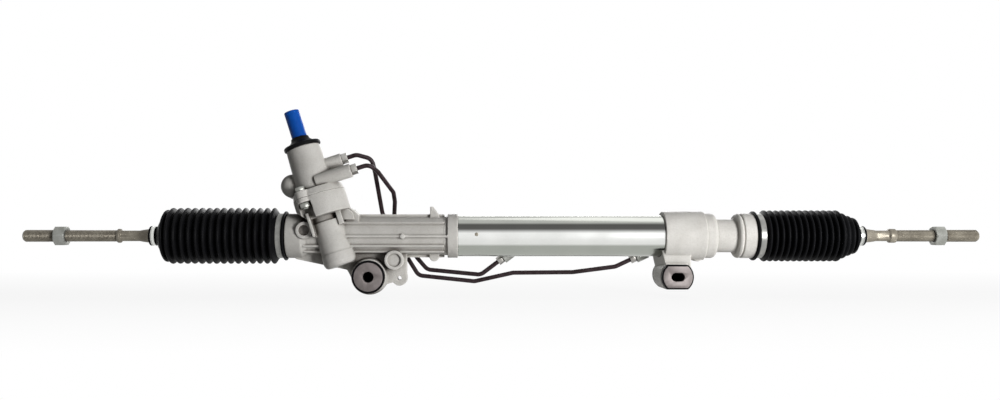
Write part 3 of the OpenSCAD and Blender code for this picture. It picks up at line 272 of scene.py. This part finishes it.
def rubber(name, tone, rough):
    """Moulded rubber: nearly black, with painted shade in its grooves, and slightly shiny on its ridges.
    """
    material, tree, shader, place = start_material(name)
    cloud = noise_node(tree, place, 60.0, 4.0)
    dark = tuple(0.7 * t for t in tone)
    base = ramp_node(tree, cloud, [(0.35, dark), (0.65, tone)])
    # Occlusion darkens the base colour: painted shade in grooves.
    painted_recess_shade = ramp_node(tree, occlusion(tree, 0.008), [(0.35, (0.08, 0.08, 0.08)), (0.85, (1.0, 1.0, 1.0))])
    tree.links.new(mix_node(tree, 1.0, base, painted_recess_shade, "MULTIPLY"), shader.inputs["Base Color"])
    tree.links.new(range_node(tree, cloud, rough - 0.06, rough + 0.08), shader.inputs["Roughness"])
    fine = noise_node(tree, place, 1800.0, 2.0)
    tree.links.new(bump_node(tree, fine, 0.00004, 0.6), shader.inputs["Normal"])
    shader.inputs["Specular IOR Level"].default_value = 0.05
    return material


def painted_pipe():
    """Dark brown coat on steel pipe."""
    material, tree, shader, place = start_material("dark_pipe")
    cloud = noise_node(tree, place, 120.0, 4.0)
    base = ramp_node(tree, cloud, [(0.35, (0.020, 0.012, 0.013)), (0.65, (0.040, 0.026, 0.030))])
    tree.links.new(base, shader.inputs["Base Color"])
    tree.links.new(range_node(tree, cloud, 0.30, 0.42), shader.inputs["Roughness"])
    tree.links.new(bump_node(tree, noise_node(tree, place, 900.0), 0.00003, 0.5),
                   shader.inputs["Normal"])
    shader.inputs["Specular IOR Level"].default_value = 0.12
    return material


def plastic(name, dark, light):
    """Moulded plastic with a faint swirl in its colour."""
    material, tree, shader, place = start_material(name)
    cloud = noise_node(tree, place, 45.0, 3.0)
    tree.links.new(ramp_node(tree, cloud, [(0.35, dark), (0.65, light)]), shader.inputs["Base Color"])
    tree.links.new(range_node(tree, cloud, 0.36, 0.46), shader.inputs["Roughness"])
    tree.links.new(bump_node(tree, noise_node(tree, place, 1100.0), 0.00003, 0.5),
                   shader.inputs["Normal"])
    shader.inputs["Specular IOR Level"].default_value = 0.12
    return material


def bush_plate():
    """Blasted steel end plate of a bush: warm mid grey, matt, with painted shade that makes it nearly
    black inside its bore.
    """
    material, tree, shader, place = start_material("bush_metal")
    cloud = noise_node(tree, place, 110.0, 5.0)
    base = ramp_node(tree, cloud, [(0.3, (0.15, 0.13, 0.125)), (0.7, (0.22, 0.195, 0.19))])
    # Occlusion darkens the base colour: painted shade, nearly black inside the bore.
    painted_recess_shade = ramp_node(tree, occlusion(tree, 0.03), [(0.25, (0.02, 0.02, 0.02)), (0.6, (1.0, 1.0, 1.0))])
    tree.links.new(mix_node(tree, 1.0, base, painted_recess_shade, "MULTIPLY"), shader.inputs["Base Color"])
    tree.links.new(range_node(tree, cloud, 0.5, 0.62), shader.inputs["Roughness"])
    tree.links.new(bump_node(tree, noise_node(tree, place, 1300.0), 0.00006, 0.6),
                   shader.inputs["Normal"])
    shader.inputs["Metallic"].default_value = 0.4
    return material


MATERIALS = {
    "cast_aluminium": cast_aluminium(),
    "tube_steel": machined_steel("tube_steel", (0.60, 0.61, 0.58), (0.72, 0.73, 0.70), (0.20, 0.30)),
    "drawn_tube": drawn_steel(),
    "band_steel": machined_steel("band_steel", (0.24, 0.24, 0.23), (0.36, 0.36, 0.34), (0.30, 0.42), 0.5),
    "steel": machined_steel("steel", (0.30, 0.29, 0.27), (0.42, 0.41, 0.39)),
    "zinc": machined_steel("zinc", (0.26, 0.265, 0.24), (0.38, 0.385, 0.36), (0.28, 0.42), 0.6),
    "rod_plating": machined_steel("rod_plating", (0.20, 0.18, 0.145), (0.30, 0.275, 0.225),
                                  (0.34, 0.48), 0.3),
    "dark_pipe": painted_pipe(),
    "black_rubber": rubber("black_rubber", (0.006, 0.006, 0.007), 0.46),
    "blue_plastic": plastic("blue_plastic", (0.002, 0.060, 0.330), (0.004, 0.085, 0.430)),
    "white_plastic": plastic("white_plastic", (0.60, 0.59, 0.54), (0.72, 0.71, 0.66)),
    "bush_metal": bush_plate(),
    "bronze": machined_steel("bronze", (0.45, 0.28, 0.10), (0.58, 0.37, 0.15)),
}
SLOT_OF = {entry["node"]: entry["material_slot"] for entry in frame["record"]["subparts"]}
BODY_OF = {node: body for body, nodes in frame["record"]["behaviour"]["bodies"].items()
           for node in nodes}

for node, slot in SLOT_OF.items():
    cad = frame["nodes"][node]
    cad.data.materials.clear()
    cad.data.materials.append(MATERIALS[slot])


# Mesh helpers

def new_piece(name, verts, faces, slot, matrix=None, sharp=40.0):
    """Object from millimetre points in a local frame, with poles merged and faces turned outwards."""
    place = SCALE @ matrix if matrix is not None else SCALE
    mesh = bpy.data.meshes.new(name)
    mesh.from_pydata([place @ Vector(v) for v in verts], [], faces)
    work = bmesh.new()
    work.from_mesh(mesh)
    bmesh.ops.remove_doubles(work, verts=work.verts, dist=1e-6)
    bmesh.ops.recalc_face_normals(work, faces=work.faces)
    work.to_mesh(mesh)
    work.free()
    return finish_piece(name, mesh, slot, sharp)


def finish_piece(name, mesh, slot, sharp):
    """Links a mesh as an object with its material, smooth except at sharp edges."""
    made = bpy.data.objects.new(name, mesh)
    bpy.context.scene.collection.objects.link(made)
    mesh.materials.clear()
    mesh.materials.append(MATERIALS[slot])
    mesh.polygons.foreach_set("use_smooth", [True] * len(mesh.polygons))
    mesh.set_sharp_from_angle(angle=math.radians(sharp))
    return made


def turn(points, segments=64, closed=True):
    """Points and faces of an outline of (radius, place) turned about the local Z axis."""
    verts, faces = [], []
    count = len(points)
    for k in range(segments):
        angle = 2 * math.pi * k / segments
        verts += [(r * math.cos(angle), r * math.sin(angle), z) for r, z in points]
    for k in range(segments):
        following = (k + 1) % segments
        for i in range(count if closed else count - 1):
            j = (i + 1) % count
            faces.append((k * count + i, following * count + i, following * count + j, k * count + j))
    return verts, faces


def ring_faces(rings, segments):
    """Faces between rings of points that follow each other."""
    faces = []
    for i in range(rings - 1):
        for k in range(segments):
            j = (k + 1) % segments
            faces.append((i * segments + k, i * segments + j, (i + 1) * segments + j,
                          (i + 1) * segments + k))
    return faces


def joined(parts):
    """Points and faces of several forms as one."""
    verts, faces = [], []
    for part_verts, part_faces in parts:
        base = len(verts)
        verts += part_verts
        faces += [tuple(base + v for v in face) for face in part_faces]
    return verts, faces


def on_ball(side, ball_x):
    """Frame of a tie rod: its origin at the ball's centre and Z outwards along the rod."""
    turned_round = Matrix.Rotation(math.radians(90 if side == "right" else -90), 4, "Y")
    return Matrix.Translation((ball_x, 0, RACK_RISE)) @ turned_round


def baked(source):
    """Mesh of an object with its modifiers applied; the object is removed."""
    graph = bpy.context.evaluated_depsgraph_get()
    mesh = bpy.data.meshes.new_from_object(source.evaluated_get(graph))
    bpy.data.objects.remove(source)
    return mesh


def place_piece(made, node):
    """Puts a piece in the place of a solid, on the same body."""
    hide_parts(node)
    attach(made, BODY_OF[node])
    return made


def coat(made, name):
    """Gives a piece another finish than the one of its slot."""
    made.data.materials[0] = MATERIALS[name]


def copy_of(node):
    """Copy of a solid's surface with its triangles joined up."""
    mesh = frame["nodes"][node].data.copy()
    work = bmesh.new()
    work.from_mesh(mesh)
    bmesh.ops.remove_doubles(work, verts=work.verts, dist=1e-6)
    work.to_mesh(mesh)
    work.free()
    made = bpy.data.objects.new("work", mesh)
    bpy.context.scene.collection.objects.link(made)
    return made


def cast_form(work, name, node, voxel, steps):
    """A form remeshed evenly and relaxed, which rounds its edges, in the place of a solid."""
    remesh = work.modifiers.new("remesh", "REMESH")
    remesh.mode = "VOXEL"
    remesh.voxel_size = voxel * MM
    relax = work.modifiers.new("relax", "SMOOTH")
    relax.factor = 0.5
    relax.iterations = steps
    return place_piece(finish_piece(name, baked(work), SLOT_OF[node], 180.0), node)


def cast_piece(node, voxel, steps):
    """A casting with rounded edges and fillets, from the solid's surface."""
    return cast_form(copy_of(node), node + "_cast", node, voxel, steps)


BROKEN_ANGLE = 38.0


def bevelled_piece(node, width, segments=3):
    """A machined or moulded piece with its sharp edges broken."""
    work = copy_of(node)
    mesh = work.data
    form = bmesh.new()
    form.from_mesh(mesh)
    bmesh.ops.dissolve_limit(form, angle_limit=math.radians(1.0), verts=form.verts, edges=form.edges)
    form.to_mesh(mesh)
    form.free()
    bevel = work.modifiers.new("bevel", "BEVEL")
    bevel.width = width * MM
    bevel.segments = segments
    bevel.limit_method = "ANGLE"
    bevel.angle_limit = math.radians(BROKEN_ANGLE)
    work.modifiers.new("normals", "WEIGHTED_NORMAL")
    return place_piece(finish_piece(node + "_edged", baked(work), SLOT_OF[node], BROKEN_ANGLE), node)


def cast_block(name, node, corners, front, back):
    """Rounded cast web: an outline in X and Z, from front to back."""
    count = len(corners)
    verts = [(x, front, z) for x, z in corners] + [(x, back, z) for x, z in corners]
    faces = [tuple(range(count)), tuple(reversed(range(count, 2 * count)))]
    faces += [(i, (i + 1) % count, count + (i + 1) % count, count + i) for i in range(count)]
    return cast_form(new_piece("work", verts, faces, SLOT_OF[node]), name, node, 0.8, 8)


# Castings and the small pieces with broken edges

for node, voxel in (("rack_housing", 0.8), ("valve_housing", 0.7), ("end_housing", 0.9)):
    cast_piece(node, voxel, 2)
cast_piece("tube_port_bosses", 0.5, 3)
cast_block("collar_web", "rack_housing", [(-38, 74), (-38, 89), (-30, 91), (-20, 83), (-18, 74)], -24, 4)

EDGE_WIDTHS = (("left_bush_rubber", 0.9), ("right_bush_rubber", 0.9), ("left_bush_sleeve", 0.5),
               ("right_bush_sleeve", 0.5), ("shaft_cap", 0.8), ("dust_cover", 0.5),
               ("guide_lock_nut", 0.7), ("guide_plug", 0.6), ("pinion_end_plug", 0.5),
               ("pipe_nuts", 0.5), ("valve_housing_bolts", 0.5), ("valve_housing_nuts", 0.5),
               ("bellows_clamps", 0.5))
FINISH_OF = {"bellows_clamps": "band_steel", "pipe_nuts": "steel"}

for node, width in EDGE_WIDTHS:
    edged = bevelled_piece(node, width)
    if node in FINISH_OF:
        coat(edged, FINISH_OF[node])


# Bellows

FOLDS = 15
NECK_R = 27.2
FOLD_STEPS = 14
FOLD_DEPTH = 6.0
FOLD_WOBBLE = 0.25
BELLOWS_WALL = 2.0
LEAST_BORE = 9.6
NECK_LEN = 11.8


def fold_outline(start, end, top, drop):
    """Rounded folds from start to end: broad crests and narrow valleys, the last two smaller by drop."""
    points = []
    pitch = (end - start) / FOLDS
    for k in range(FOLDS):
        crest = top - drop * max(0, k - FOLDS + 3)
        for i in range(FOLD_STEPS):
            t = i / FOLD_STEPS
            wave = 0.5 - 0.5 * math.cos(2 * math.pi * t)
            low = top - drop * max(0, k - FOLDS + (2 if t < 0.5 else 3)) - FOLD_DEPTH
            wobble = FOLD_WOBBLE * noise.noise(Vector((k * 3.7, t, 0.5)))
            height = (crest - low + wobble - FOLD_WOBBLE) * wave ** 0.75
            points.append((low + height, start + pitch * (k + t)))
    points.append((top - 2 * drop - FOLD_DEPTH, end))
    return points


def bellows(side, tail, drop, seams, body_b, body_c):
    """One bellows in three stretches, cut at two seams along the rack."""
    low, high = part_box(side + "_bellows")
    sign = -1 if side == "left" else 1
    root = (high.x if sign < 0 else low.x) / MM
    tip = (low.x if sign < 0 else high.x) / MM
    top = (high.y - low.y) / 2 / MM
    last = tip - sign * tail
    small = top - 2 * drop
    outer = [(23.6, root + sign * 0.1), (31.6, root + sign * 0.1), (32.4, root + sign * 0.8),
             (32.4, root + sign * 2.0), (31.8, root + sign * 2.7), (28.0, root + sign * 2.8),
             (NECK_R, root + sign * 3.2), (NECK_R, root + sign * 11.6)]
    outer += fold_outline(root + sign * NECK_LEN, last, top, drop)
    outer += [(small - 4.2, last + sign * 1.0), (small - 2.8, last + sign * 2.4),
              (small - 3.4, last + sign * 4.0), (small - 5.6, last + sign * 5.4),
              (small - 9.0, last + sign * 6.4), (15.0, tip - sign * 11.6), (13.0, tip - sign * 11.0),
              (11.8, tip - sign * 10.2), (11.55, tip - sign * 9.0), (11.55, tip - sign * 3.2),
              (12.5, tip - sign * 2.9), (12.9, tip - sign * 2.3), (12.9, tip - sign * 0.9),
              (12.4, tip - sign * 0.2), (9.7, tip - sign * 0.1)]
    cuts = [root] + list(seams) + [tip]
    bodies = [("housing", "rack"), ("rack", body_b), (body_b, body_c)]
    for part, (a, b) in enumerate(bodies):
        begin, end = cuts[part], cuts[part + 1]
        points = clip_outline(outer, begin, end, sign)
        inner = [(max(r - BELLOWS_WALL, LEAST_BORE), x) for r, x in reversed(points)]
        verts, faces = turn([(r, x) for r, x in points + inner], 96)
        piece = new_piece(f"{side}_bellows_{part + 1}", verts, faces, "black_rubber",
                          ALONG_RACK, 75.0)
        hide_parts(side + "_bellows")
        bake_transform(piece)


def clip_outline(points, begin, end, sign):
    """Stretch of an outline between two places along the rack.

    Its ends are cut in between points. The cut at the far end comes before the last point kept.
    """
    kept = []
    for (r0, x0), (r1, x1) in zip(points, points[1:]):
        for cut in (begin, end):
            if (x0 - cut) * (x1 - cut) < 0:
                t = (cut - x0) / (x1 - x0)
                kept.append((r0 + t * (r1 - r0), cut))
        if (x0 - begin) * sign >= -1e-6 and (x0 - end) * sign <= 1e-6:
            kept.append((r0, x0))
    r1, x1 = points[-1]
    if (x1 - end) * sign <= 1e-6:
        kept.append((r1, x1))
    return kept


bellows("left", tail=25.5, drop=0.0, seams=(-249.5, -265.2), body_b="left_seat", body_c="left_rod")
bellows("right", tail=17.9, drop=3.6, seams=(608.9, 625.0), body_b="right_seat", body_c="right_rod")


# Tie rods

BALL_R = 10.5
THREAD_PITCH = 1.75
THREAD_DEPTH = 0.75
HALF_FLATS = 6.1
ROD_SIDES = 48
NUT_SIDES = 96
NUT_HALF_FLATS = 12.1


# Kinds of ring along a tie rod
ROUND, FLAT, THREAD = range(3)


def thread_wave(turns):
    """Depth in a thread after some turns, 0 at the crest and 1 at the root."""
    t = turns % 1.0
    return abs(2.0 * t - 1.0)


def tie_rod(side, ball_x, boot, taper, neck, collar, tip, free):
    """Tie rod with its ball, a neck with two flats, a collar and a cut thread up to the tip."""
    rows = [(BALL_R * math.sin(math.radians(a)), -BALL_R * math.cos(math.radians(a)), ROUND)
            for a in range(3, 150, 7)]
    rows += [(5.5, 9.2, ROUND), (5.5, 14.5, ROUND), (7.5, 22.0, ROUND), (7.5, 36.0, ROUND),
             (9.4, 40.0, ROUND), (9.4, boot + 1.4, ROUND), (9.0, boot + 2.0, ROUND),
             (7.8, taper - 3.0, ROUND), (7.1, taper, FLAT), (7.0, taper + 1.0, FLAT),
             (7.0, neck - 1.2, FLAT), (7.6, neck - 0.2, ROUND), (9.0, neck + 0.6, ROUND),
             (9.2, neck + 1.2, ROUND), (9.2, collar - 1.2, ROUND), (8.6, collar - 0.4, ROUND),
             (7.0, collar + 0.2, ROUND)]
    z = collar + 1.0
    while z < tip - 2.2:
        rows.append((7.65 if z < tip - free else 7.95, z, THREAD))
        z += THREAD_PITCH / 8
    rows += [(7.2, tip - 1.6, ROUND), (6.2, tip - 0.3, ROUND), (5.6, tip, ROUND), (0.01, tip, ROUND)]
    verts = []
    for radius, height, kind in rows:
        for k in range(ROD_SIDES):
            angle = 2 * math.pi * k / ROD_SIDES
            r = radius
            if kind == FLAT:
                r = min(radius, HALF_FLATS / max(abs(math.sin(angle)), 1e-6))
            if kind == THREAD:
                r = radius - THREAD_DEPTH * thread_wave(height / THREAD_PITCH - k / ROD_SIDES)
            verts.append((r * math.cos(angle), r * math.sin(angle), height))
    faces = ring_faces(len(rows), ROD_SIDES)
    faces.append(tuple(reversed(range(ROD_SIDES))))
    made = new_piece(side + "_tie_rod_threaded", verts, faces, "zinc", on_ball(side, ball_x), 50.0)
    coat(made, "rod_plating")
    place_piece(made, side + "_tie_rod")


tie_rod("left", LEFT_BALL_X, LEFT_BOOT, taper=70.0, neck=95.0, collar=100.0, tip=223.5, free=40.0)
tie_rod("right", RIGHT_BALL_X, RIGHT_BOOT, taper=72.5, neck=89.5, collar=98.9, tip=207.0, free=42.0)


def jam_nut(side, ball_x, near, length):
    """Hexagon nut with its corners turned off at both ends."""
    rows = [(7.2, 0.6), (8.6, 0.0), (11.6, 0.0), (12.2, 0.35), (14.0, 1.5), (14.0, length - 1.5),
            (12.2, length - 0.35), (11.6, length), (8.6, length), (7.2, length - 0.6)]
    verts = []
    for radius, height in rows:
        for k in range(NUT_SIDES):
            angle = 2 * math.pi * k / NUT_SIDES
            across = (angle + math.pi / 6) % (math.pi / 3) - math.pi / 6
            r = min(radius, NUT_HALF_FLATS / math.cos(across))
            verts.append((r * math.cos(angle), r * math.sin(angle), near + height))
    place_piece(new_piece(side + "_jam_nut_turned", verts, ring_faces(len(rows), NUT_SIDES), "zinc",
                          on_ball(side, ball_x), 25.0), side + "_jam_nut")


jam_nut("left", LEFT_BALL_X, near=166.5, length=15.0)
jam_nut("right", RIGHT_BALL_X, near=148.0, length=14.0)


CLIP_R = 12.5
CLIP_ROLL = 0.6
CLIP_SIDES = 72


def clip(side, ball_x, sign, boot):
    """Clip round a bellows' small end: a flat band with a rolled edge on each side."""
    middle = ball_x + sign * (boot - 5.6)
    parts = []
    for offset in (-2.0, 2.0):
        ring = [(CLIP_R + CLIP_ROLL * math.cos(math.radians(a)),
                 middle + offset + CLIP_ROLL * math.sin(math.radians(a))) for a in range(0, 360, 45)]
        parts.append(turn(ring, CLIP_SIDES))
    band = [(11.7, middle - 2.4), (CLIP_R, middle - 2.4), (CLIP_R, middle + 2.4), (11.7, middle + 2.4)]
    parts.append(turn(band, CLIP_SIDES))
    verts, faces = joined(parts)
    made = new_piece(side + "_clip_rings", verts, faces, "tube_steel", ALONG_RACK, 60.0)
    place_piece(made, side + "_bellows_clip")


clip("left", LEFT_BALL_X, -1, LEFT_BOOT)
clip("right", RIGHT_BALL_X, 1, RIGHT_BOOT)


# Cylinder tube

TUBE_R = 27.0
TUBE_BORE_R = 23.0
TUBE_LEFT = 98.0
TUBE_RIGHT = 401.5
DOT_X = 139.6
# Place and sides of the black discs that stand in for the shade inside the bush bores
SHADE_DISC_Y = 30.0
SHADE_DISC_SIDES = 48


def cylinder_tube():
    """Drawn tube between the castings, with a small peened dot at its front."""
    outline = [(TUBE_BORE_R, TUBE_LEFT), (24.6, TUBE_LEFT), (24.6, 115.4), (26.6, 115.5),
               (TUBE_R, 115.9), (TUBE_R, 120.0), (TUBE_R, 250.0), (TUBE_R, 380.0), (TUBE_R, 383.6),
               (26.6, 384.0), (24.9, 384.0), (24.9, TUBE_RIGHT), (TUBE_BORE_R, TUBE_RIGHT)]
    verts, faces = turn(outline, 192)
    made = new_piece("cylinder_tube_drawn", verts, faces, "tube_steel", ALONG_RACK, 30.0)
    coat(made, "drawn_tube")
    place_piece(made, "cylinder_tube")
    dome = [(2.4, -0.6), (2.4, 0.15), (1.9, 0.45), (1.1, 0.5), (0.9, 0.2), (0.01, 0.2)]
    dot_verts, dot_faces = turn(dome, 24, closed=False)
    lifted = (Matrix.Translation((DOT_X, 0, RACK_RISE)) @ Matrix.Rotation(math.radians(84.5), 4, "X")
              @ Matrix.Translation((0, 0, TUBE_R)))
    dot = new_piece("tube_dot", dot_verts, dot_faces, "steel", lifted, 60.0)
    coat(dot, "rod_plating")
    place_piece(dot, "cylinder_tube")


def tunnel_end():
    """Skin of the casting over the end of the tube, between the ribs and the collar."""
    outline = [(24.7, 96.6), (25.3, 97.4), (25.4, 99.0), (25.4, 102.6), (24.7, 102.6)]
    verts, faces = turn(outline, 128)
    made = new_piece("tunnel_end_skin", verts, faces, "cast_aluminium", ALONG_RACK, 60.0)
    place_piece(made, "rack_housing")


def bore_shade_disc(name, node, x, radius, half=0.0):
    """Thin black disc deep in a bolt hole, or in a slot with its ends half apart from the middle, standing
    in for the shade inside it.
    """
    rows = [(0.02, 0.0), (0.5, 0.0), (1.0, 0.0), (1.0, 0.8), (0.92, 1.2), (0.02, 1.2)]
    verts = []
    for share, height in rows:
        for k in range(SHADE_DISC_SIDES):
            angle = 2 * math.pi * (k + 0.5) / SHADE_DISC_SIDES
            aside = half if math.cos(angle) > 0 else -half
            across = share * (radius * math.cos(angle) + aside)
            verts.append((across, share * radius * math.sin(angle), height))
    faces = ring_faces(len(rows), SHADE_DISC_SIDES)
    faces.append(tuple(reversed(range(SHADE_DISC_SIDES))))
    faces.append(tuple(range((len(rows) - 1) * SHADE_DISC_SIDES, len(rows) * SHADE_DISC_SIDES)))
    facing = Matrix.Translation((x, SHADE_DISC_Y, 0.0)) @ Matrix.Rotation(math.radians(90), 4, "X")
    place_piece(new_piece(name, verts, faces, "black_rubber", facing, 40.0), node)


cylinder_tube()
tunnel_end()
# Black discs deep in the bush bores stand in for the shade inside them.
bore_shade_disc("left_bore_shade_disc", "left_bush_sleeve", 0.0, radius=7.0)
bore_shade_disc("right_slot_shade_disc", "right_bush_sleeve", RIGHT_BUSH_X, radius=5.5, half=3.0)


# Pipes

PIPE_R = 2.95
PIPE_BEND = 12.0
PIPE_SIDES = 20
BEND_STEPS = 12

# Ports on the tube: the middle of each along the rack and its rise in degrees
RIGHT_PORT = (360.1, 25)
LEFT_PORT = (181.3, 37)


def from_tower(u, v, w):
    """Place in the frame, from one in the tower's."""
    return TOWER @ Vector((u, v, w))


def on_port(port, distance):
    """Place on a tube port's axis, measured from the boss towards the pipe."""
    x, rise = port
    angle = math.radians(rise)
    return Vector((x - distance * math.cos(angle), 20.0, RACK_RISE - 26.0 - distance * math.sin(angle)))


def rounded(corners):
    """Corners of a route with their bends filled in."""
    points = [corners[0]]
    for a, b, c in zip(corners, corners[1:], corners[2:]):
        p, q = (a - b).normalized(), (c - b).normalized()
        half = p.angle(q) / 2
        radius = min(PIPE_BEND, 0.45 * min((a - b).length, (c - b).length) * math.tan(half))
        middle = b + (p + q).normalized() * radius / math.sin(half)
        first = b + p * radius / math.tan(half) - middle
        last = b + q * radius / math.tan(half) - middle
        for i in range(BEND_STEPS + 1):
            t = i / BEND_STEPS
            points.append(middle + radius * first.normalized().slerp(last.normalized(), t))
    points.append(corners[-1])
    return points


def pipe(node, corners):
    """Bent pipe along a route."""
    points = rounded(corners)
    verts = []
    side = None
    for i, point in enumerate(points):
        ahead = (points[min(i + 1, len(points) - 1)] - points[max(i - 1, 0)]).normalized()
        side = ahead.cross(Vector((0, 1, 0.3))) if side is None else side - side.dot(ahead) * ahead
        side.normalize()
        up = ahead.cross(side)
        for k in range(PIPE_SIDES):
            angle = 2 * math.pi * k / PIPE_SIDES
            verts.append(point + PIPE_R * (math.cos(angle) * side + math.sin(angle) * up))
    faces = ring_faces(len(points), PIPE_SIDES)
    faces.append(tuple(reversed(range(PIPE_SIDES))))
    faces.append(tuple(range((len(points) - 1) * PIPE_SIDES, len(points) * PIPE_SIDES)))
    place_piece(new_piece(node + "_smooth", verts, faces, "dark_pipe", None, 50.0), node)


# Corners of each route between the valve housing and its port
RIGHT_ROUTE = ((2, 0, 154), (6, 4, 136), (13, 36, 82), (46, 36, 24), (62, 36, -2), (138, 36, -10),
               (190, 30, 2), (270, 26, 3))
LEFT_ROUTE = ((12, -20, 136), (30, 8, 110), (31, 20, 98), (29, 36, 78), (60, 36, 22), (74, 36, 6))

pipe("right_chamber_pipe", [from_tower(41, 2, 90.5), from_tower(64, 2, 90.5)]
     + [Vector(corner) for corner in RIGHT_ROUTE] + [on_port(RIGHT_PORT, 37), on_port(RIGHT_PORT, 12)])
pipe("left_chamber_pipe", [from_tower(50, -19, 70), from_tower(77, -19, 70)]
     + [Vector(corner) for corner in LEFT_ROUTE] + [on_port(LEFT_PORT, 44), on_port(LEFT_PORT, 12)])


# Studio

def white_paths(tree):
    """1 for the camera's rays and for those seen in metal or through glass."""
    path = add(tree, "ShaderNodeLightPath")
    seen = add(tree, "ShaderNodeMath", operation="MAXIMUM")
    tree.links.new(path.outputs["Is Camera Ray"], seen.inputs[0])
    tree.links.new(path.outputs["Is Glossy Ray"], seen.inputs[1])
    either = add(tree, "ShaderNodeMath", operation="MAXIMUM")
    tree.links.new(seen.outputs[0], either.inputs[0])
    tree.links.new(path.outputs["Is Transmission Ray"], either.inputs[1])
    return either.outputs[0]


FLOOR_HALF = 6.0
FLOOR_GAP = 0.002


def studio_floor():
    """Grey floor that glows for the camera: nearly white under the gear and fully white away from it."""
    floor_z = cad_low.z - FLOOR_GAP
    mesh = bpy.data.meshes.new("floor")
    mesh.from_pydata([(-FLOOR_HALF, -FLOOR_HALF, floor_z), (FLOOR_HALF, -FLOOR_HALF, floor_z),
                      (FLOOR_HALF, FLOOR_HALF, floor_z), (-FLOOR_HALF, FLOOR_HALF, floor_z)],
                     [], [(0, 1, 2, 3)])
    made = bpy.data.objects.new("floor", mesh)
    bpy.context.scene.collection.objects.link(made)
    material = bpy.data.materials.new("floor")
    material.use_nodes = True
    tree = material.node_tree
    tree.nodes.clear()
    out = add(tree, "ShaderNodeOutputMaterial")
    diffuse = add(tree, "ShaderNodeBsdfDiffuse")
    diffuse.inputs["Color"].default_value = (0.7, 0.7, 0.7, 1.0)
    glow = add(tree, "ShaderNodeEmission")
    glow.inputs["Strength"].default_value = 1.0
    place = add(tree, "ShaderNodeTexCoord")
    away = add(tree, "ShaderNodeSeparateXYZ")
    tree.links.new(place.outputs["Object"], away.inputs[0])
    across = add(tree, "ShaderNodeMath", operation="ABSOLUTE")
    tree.links.new(away.outputs["Y"], across.inputs[0])
    share = add(tree, "ShaderNodeMath", operation="MULTIPLY")
    tree.links.new(white_paths(tree), share.inputs[0])
    tree.links.new(range_node(tree, across.outputs[0], 0.9, 1.0, 0.05, 0.5), share.inputs[1])
    mixed = add(tree, "ShaderNodeMixShader")
    tree.links.new(share.outputs[0], mixed.inputs[0])
    tree.links.new(diffuse.outputs[0], mixed.inputs[1])
    tree.links.new(glow.outputs[0], mixed.inputs[2])
    tree.links.new(mixed.outputs[0], out.inputs["Surface"])
    mesh.materials.append(material)


def area_lamp(name, place, target, width, height, power):
    """Soft box aimed at a point."""
    light = bpy.data.lights.new(name, "AREA")
    light.shape = "RECTANGLE"
    light.size = width
    light.size_y = height
    light.energy = power
    made = bpy.data.objects.new(name, light)
    made.location = place
    made.rotation_euler = (Vector(target) - Vector(place)).to_track_quat("-Z", "Y").to_euler()
    bpy.context.scene.collection.objects.link(made)
    return made


def studio_world():
    """World that is white to the camera and in reflections, and a dim grey light on matt surfaces."""
    world = bpy.data.worlds.new("studio")
    bpy.context.scene.world = world
    world.use_nodes = True
    tree = world.node_tree
    tree.nodes.clear()
    out = add(tree, "ShaderNodeOutputWorld")
    white = add(tree, "ShaderNodeBackground")
    white.inputs["Color"].default_value = (1.0, 1.0, 1.0, 1.0)
    soft = add(tree, "ShaderNodeBackground")
    soft.inputs["Color"].default_value = (0.07, 0.07, 0.07, 1.0)
    mixed = add(tree, "ShaderNodeMixShader")
    tree.links.new(white_paths(tree), mixed.inputs[0])
    tree.links.new(soft.outputs[0], mixed.inputs[1])
    tree.links.new(white.outputs[0], mixed.inputs[2])
    tree.links.new(mixed.outputs[0], out.inputs["Surface"])


def photo_camera():
    """Camera at the photograph's place: about 1.2 m in front, to the right of the left bush."""
    data = bpy.data.cameras.new("camera")
    made = bpy.data.objects.new("camera", data)
    bpy.context.scene.collection.objects.link(made)
    data.sensor_width = 36.0
    data.lens = 32.47
    data.shift_x = 0.041
    data.shift_y = 0.015
    made.location = (0.117, -1.19, 0.080)
    made.rotation_euler = (math.radians(90), 0, 0)
    bpy.context.scene.camera = made


studio_floor()
studio_world()
photo_camera()
area_lamp("key", place=(1.0, -1.02, 0.12), target=(0.1, 0, 0.05), width=0.4, height=0.4, power=21.0)
area_lamp("top", place=(0.7, 0.5, 1.7), target=(0.15, 0, 0.05), width=1.2, height=0.8, power=3.5)
area_lamp("back", place=(0.5, 1.9, 0.7), target=(0.15, 0, 0.05), width=1.6, height=0.6, power=15.0)

scene = bpy.context.scene
scene.view_settings.view_transform = "Standard"
